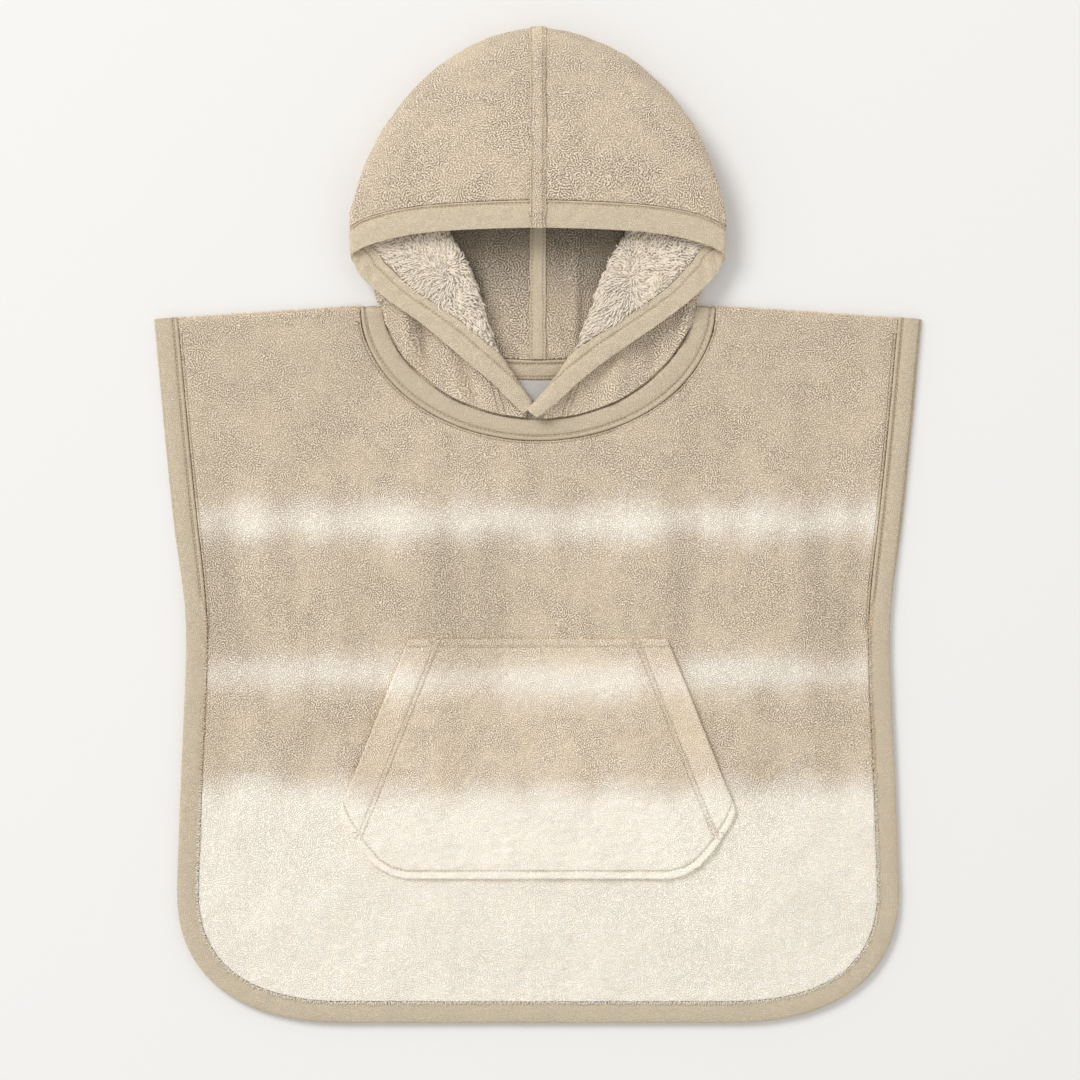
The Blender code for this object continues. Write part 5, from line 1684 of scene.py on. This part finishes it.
class PONCHO_OT_neck(bpy.types.Operator):
    """The neck binding, front and back, and the label under it"""
    bl_idname = "poncho.neck"
    bl_label = "Neck binding and label"

    def execute(self, context):
        stitch = context.scene.poncho.stitch
        inner, outer = (neck_curve(which, FRONT_NECK_STEPS * NECK_FINENESS)
                        for which in ("front_body", "front_hood"))
        front = binding_strip("neck_front", inner, outer, LAYER_RISE, 1.0)
        self.wrap_shoulder(front.data)
        curves = (inner + unit(outer - inner) * across
                  for across in (BINDING_DITCH, -BESIDE_BINDING))
        rows = [(with_height(curve, LAYER_RISE + DITCH_RISE)[4:-4], UP) for curve in curves]
        sewing = stitch_mesh("neck_stitches", rows, stitch)

        back_inner, back_outer = (neck_curve(which, BACK_NECK_STEPS * NECK_FINENESS)
                                  for which in ("back_hood", "back_body"))
        back = binding_strip("neck_back", back_inner, back_outer, 0.0, 1.0, TERRY,
                             BACK_NECK_DITCH)
        ditch = back_inner + unit(back_outer - back_inner) * BINDING_DITCH
        back_sewing = stitch_mesh("neck_back_stitches",
                                  [(with_height(ditch, DITCH_RISE - 0.1)[20:-20], UP)], stitch)
        for piece, replaced, curve, on, sewn in (
                (front, "neck_binding_front", inner, "front_terry", sewing),
                (back, "neck_binding_back", back_outer, "floor", back_sewing)):
            length = curve_length(curve)
            dress(piece, replaced, (BINDING_WIDTH, length),
                  BINDING_WIDTH * length * NECK_SHARE, with_pieces=[trim(sewn)])
        dress(self.add_label(), "label", LABEL_SIZE, LABEL_SIZE[0] * LABEL_SIZE[1])
        return {"FINISHED"}

    @staticmethod
    def add_label():
        """The label: a thin wall with a soft roll across it and a fold at its top."""
        over = np.linspace(-1, 1, LABEL_GRID[0])
        down = np.linspace(0, 1, LABEL_GRID[1])[:, None]
        x = LABEL_X + LABEL_SIZE[0] / 2 * over
        y = NECK["back_body"][1] - 2 * SEAM_GAP - LABEL_SIZE[1] * down
        height = LAYER_RISE + LABEL_THICKNESS / 2 + LABEL_ROLL * np.sin(np.pi * down) ** 2
        flat = np.stack(np.broadcast_arrays(x, y), axis=2)
        middle = with_height(flat, height + LABEL_CURL * over ** 2 * down)
        return cloth_wall("label_woven", middle, LABEL_THICKNESS / 2, LABEL_THICKNESS / 2,
                          "woven label")

    @staticmethod
    def wrap_shoulder(mesh):
        """Bend the ends of the neck binding down over the shoulder by a quarter turn."""
        points = np.empty(len(mesh.vertices) * 3)
        mesh.vertices.foreach_get("co", points)
        points = points.reshape(-1, 3) / MM
        axis_y = SHOULDER_Y - SHOULDER_ROUND
        past = np.clip(points[:, 1] - axis_y, 0, None)
        angle = past / SHOULDER_ROUND * np.pi / 2
        reach = np.maximum(points[:, 2] - SHOULDER_ROUND, 0.1)
        bent = past > 0
        points[bent, 1] = (axis_y + reach * np.sin(angle))[bent]
        points[bent, 2] = (SHOULDER_ROUND + reach * np.cos(angle))[bent]
        mesh.vertices.foreach_set("co", (points * MM).ravel())
        mesh.update()


class PONCHO_OT_hood(bpy.types.Operator):
    """Both halves of the hood, its band, the tapes on its seam, its stitches and pile"""
    bl_idname = "poncho.hood"
    bl_label = "Hood"

    def execute(self, context):
        sizes = context.scene.poncho
        half = sizes.cloth.terry / MM / 2
        left, right = (self.add_half(sizes, half, *given) for given in (
            ("left", LEFT_LAPEL_ROWS, -1.0, LEFT_SEED),
            ("right", RIGHT_LAPEL_ROWS, 1.0, RIGHT_SEED)))
        self.add_band(sizes, half, left, right)
        self.add_tapes(sizes, half, right[0])
        return {"FINISHED"}

    @staticmethod
    def add_half(sizes, half, name, lapel_rows, side, seed):
        """One half of the hood with its creases and pile.  Returns its surface uncreased."""
        whole = hood_surface(lapel_rows, side)
        cloth = whole[:, BAND_END:].copy()
        cloth[0, :, 0] += side * SEAM_GAP / 2
        seam_way = unit(cloth[:, DRAWN_BACK] - cloth[:, 0])[:, None, :]
        share = np.linspace(1.0, 0.0, DRAWN_BACK)[:, None]
        cloth[:, :DRAWN_BACK] += seam_way * SEAM_GAP * share
        outside_up = grid_normals(cloth)[5, 10, 2] > 0

        lump = sizes.cloth.hood_unevenness / MM
        off_floor = ramp(cloth[..., 2], 2.0, 4.0)
        outer_rise = half + lumps(cloth, seed, lump) * off_floor
        inner_rise = half + lumps(cloth, seed + 5, lump * 0.8)
        row, column = np.arange(cloth.shape[0])[:, None], np.arange(cloth.shape[1])
        under = (row >= UNDER_CREASES_FROM) & (column > ROLL_START)
        crown = (row < CROWN_CREASES_TO) * ramp(column, *CROWN_CREASE_FADE)
        moved = (crease_rise(cloth, UNDER_CREASE_ROWS) * under
                 + crease_rise(cloth, CROWN_CREASE_ROWS) * crown)
        cloth = cloth + grid_normals(cloth) * (moved if outside_up else -moved)[..., None]
        lined = (row >= LINED_FROM) & (column < LINED_TO)
        joins = np.min([distance_to_line(cloth[..., :2], np.array(path))[0]
                        for path in THROAT_SEAMS[name]], axis=0)
        wall = two_sided("hood_" + name + "_terry", cloth, outer_rise, inner_rise, outside_up,
                         ("terry outer", "terry inside", "terry lining"), lined,
                         np.where(under, joins, FAR_FROM_SEAM))

        sown = scatter(cloth[PILE_PATCH], (half - 0.3) * (-1.0 if outside_up else 1.0),
                       LAPEL_PILE_COUNT, seed + 9,
                       swirl(LAPEL_CENTRE * (side, 1.0, 1.0), seed))
        kept = (sown[0][:, 1] > LAPEL_PILE_FOOT) & (np.abs(sown[0][:, 0]) < LAPEL_PILE_OUT)
        pile = loop_mesh("lapel_" + name + "_loops", *(rows[kept] for rows in sown), sizes.pile,
                         seed + 10, "lining loops", length=2.2, girth=2.6, arch=0.10,
                         scattering=0.16)
        dress(wall, "hood_" + name, HOOD_CUT, grid_area(cloth),
              with_pieces=[trim(pile)])
        return whole

    @staticmethod
    def add_band(sizes, half, left, right):
        """The band round the face opening, with its wrinkles and its stitches."""
        band = np.concatenate([left[::-1, : BAND_END + 1], right[1:, : BAND_END + 1]])
        from_top = np.abs(np.arange(len(band)) - len(left) + 1)
        on_lapel = ramp(from_top, LAPEL_START - CORNER_FINENESS, 2 * CORNER_FINENESS)
        band = round_rows(band, [BAND_ROW_FINENESS] * (len(band) - 1))
        on_lapel = np.interp(np.arange(len(band)) / BAND_ROW_FINENESS,
                             np.arange(len(on_lapel)), on_lapel)[:, None]
        crease = crease_rise(band, BAND_CREASE_ROWS) * on_lapel * np.prod(
            [ramp(BAND_PLACES, *fade) for fade in BAND_CREASE_FADE], axis=0)
        band = band + grid_normals(band) * crease[..., None]
        widths = np.linalg.norm(np.diff(band, axis=1), axis=2).sum(axis=1)[:, None]
        from_seam = widths * (1 - BAND_PLACES)
        ditch_in = BAND_DITCH + (LAPEL_DITCH - BAND_DITCH) * on_lapel
        puff = BAND_PUFF * np.sin(np.pi * BAND_PLACES) ** 0.5
        rise = with_rises(half - BAND_THINNER + puff + layered_noise(band, BAND_NOISE),
                          (from_seam, BAND_RIDGE),
                          (from_seam, (-DITCH_DEPTH, ditch_in, DITCH_WIDTH)))
        reach = reach_along(band[:, -1])
        piece = cloth_wall("hood_edge_band", band, rise, rise, "band binding",
                           seam=from_seam - ditch_in,
                           run=np.broadcast_to(reach[:, None], from_seam.shape))

        place = 1 - ditch_in / widths
        column = np.interp(place[:, 0], BAND_PLACES, np.arange(len(BAND_PLACES)))
        before = np.minimum(column.astype(int), len(BAND_PLACES) - 2)
        part, rows = (column - before)[:, None], np.arange(len(band))
        path = band[rows, before] * (1 - part) + band[rows, before + 1] * part
        out = grid_normals(band)[rows, before]
        pitch, curves = sizes.stitch.pitch / MM, []
        for side in (1.0, -1.0):
            curve = path + out * side * (half - BAND_SINK)
            curves.append(sewn_row(curve, out * side, reach_along(curve)[1:], pitch))
        sewing = trim(stitch_mesh("hood_band_stitches", curves, sizes.stitch))
        dress(piece, "hood_band", (BAND_SHEET, reach[-1]),
              min(grid_area(band) * 0.999, BAND_SHEET * reach[-1]),
              with_pieces=[sewing])

    @staticmethod
    def add_tapes(sizes, half, centre):
        """The raised strip over the centre seam outside, and the flat tape inside."""
        top_end = BAND_END + ARCH_END + (3 * TURN_STEPS + LAYER_STEPS) * FOLD_FINENESS
        across = np.linspace(-1, 1, TAPE_COLUMNS)
        from_stitches = (1 - np.abs(across)) * TAPE_WIDTH / 2 - TAPE_STITCH_IN
        for name, route, replaced, finish, swell, slot, seed in (
                ("hood_tape_top", centre[: top_end + 1], "hood_tape_outer", "terry tape",
                 1.5, "terry", TOP_TAPE_SEED),
                ("hood_tape_inside", centre[-BACK_COLUMNS:], "hood_tape_inner", "inner tape",
                 0.5, "tape", INNER_TAPE_SEED)):
            out = np.cross(ACROSS, unit(np.gradient(route, axis=0)))
            out = unit(out * np.sign(out[0, 2]))
            base = route + out * (half + SEAM_GAP + TAPE / 2)
            middle = base[:, None] + ACROSS * (TAPE_WIDTH / 2 * across)[:, None]
            sway = TAPE_SWAY * soft_noise(middle, TAPE_SWAY_SIZE, seed)
            middle = middle + sway[..., None] * ACROSS
            raised = swell * np.clip(out[:, 2:], 0.25, 1.0)
            rise = (TAPE / 2 + raised * np.clip(1 - across ** 4, 0, 1)
                    - DITCH_DEPTH * hill(from_stitches, 0.0, DITCH_WIDTH) * min(1.0, swell)
                    + layered_noise(middle, TAPE_NOISE, seed))
            upward = grid_normals(middle)[3, TAPE_COLUMNS // 2] @ out[3] > 0
            reach = reach_along(route)
            seam, run = np.broadcast_arrays(from_stitches, reach[:, None])
            tape = cloth_wall(name, middle, *either_way(upward, rise, TAPE / 2), finish,
                              seam=seam, run=run)
            curves = [sewn_row(base + out * (TAPE / 2 + raised - TAPE_SINK)
                               + ACROSS * side * (TAPE_WIDTH / 2 - TAPE_STITCH_IN),
                               out, reach, sizes.stitch.pitch / MM) for side in (-1.0, 1.0)]
            sewing = trim(stitch_mesh(name + "_stitches", curves, sizes.stitch))
            dress(tape, replaced, (TAPE_WIDTH, reach[-1]), TAPE_WIDTH * reach[-1],
                  with_pieces=[sewing])


class PONCHO_OT_stage(bpy.types.Operator):
    """A pale floor, a large soft light from the upper left, and the camera above"""
    bl_idname = "poncho.stage"
    bl_label = "Stage"

    def execute(self, context):
        stage = context.scene.poncho.stage
        mesh = bpy.data.meshes.new("floor")
        mesh.from_pydata([(x * FLOOR_REACH, y * FLOOR_REACH, FLOOR_Z)
                          for x, y in ((-1, -1), (1, -1), (1, 1), (-1, 1))], [], [(0, 1, 2, 3)])
        mesh.materials.append(floor_material("pale floor", stage.floor))
        add_object("floor", mesh)

        light = bpy.data.lights.new("key", "AREA")
        light.shape = "DISK"
        light.size = KEY_SIZE
        light.energy = stage.key
        key = add_object("key", light)
        key.location = KEY_PLACE
        key.rotation_euler = (-Vector(KEY_PLACE)).to_track_quat("-Z", "Y").to_euler()

        world = bpy.data.worlds.new("surround")
        world.use_nodes = True
        shader = world.node_tree.nodes["Background"]
        shader.inputs["Color"].default_value = (1.0, 0.99, 0.975, 1.0)
        shader.inputs["Strength"].default_value = stage.fill
        context.scene.world = world
        context.scene.view_settings.view_transform = "Standard"

        lens = bpy.data.cameras.new("camera")
        lens.sensor_width = SENSOR_WIDTH
        lens.lens = SENSOR_WIDTH * stage.distance / stage.frame_width
        camera = add_object("camera", lens)
        camera.location = (*CAMERA_PLACE, stage.distance)
        context.scene.camera = camera
        return {"FINISHED"}


class PONCHO_PT_panel(bpy.types.Panel):
    """Settings and pieces of the poncho"""
    bl_idname = "PONCHO_PT_panel"
    bl_label = "Bath Poncho"
    bl_space_type = "VIEW_3D"
    bl_region_type = "UI"
    bl_category = "Poncho"

    def draw(self, context):
        sizes = context.scene.poncho
        for title, group in (("Cloth", sizes.cloth), ("Pile", sizes.pile),
                             ("Stitches", sizes.stitch), ("Colours", sizes.colours),
                             ("Stage", sizes.stage)):
            box = self.layout.box()
            box.label(text=title)
            for name in group.bl_rna.properties.keys():
                if name not in ("rna_type", "name"):
                    box.prop(group, name)
        for piece in PIECES:
            self.layout.operator(piece.bl_idname)


PIECES = (PONCHO_OT_stage, PONCHO_OT_body, PONCHO_OT_pocket, PONCHO_OT_neck, PONCHO_OT_hood)
CLASSES = (PonchoCloth, PonchoPile, PonchoStitch, PonchoColours, PonchoStage,
           PonchoSettings) + PIECES + (PONCHO_PT_panel,)


def register():
    """Add the settings, the operators and the panel."""
    for made in CLASSES:
        bpy.utils.register_class(made)
    bpy.types.Scene.poncho = bpy.props.PointerProperty(type=PonchoSettings)


def unregister():
    """Take them away again."""
    del bpy.types.Scene.poncho
    for made in reversed(CLASSES):
        bpy.utils.unregister_class(made)


def main():
    """Make the stage and every piece in order."""
    register()
    bpy.ops.poncho.stage()
    bpy.ops.poncho.body()
    bpy.ops.poncho.pocket()
    bpy.ops.poncho.neck()
    bpy.ops.poncho.hood()


if __name__ == "__main__":
    main()
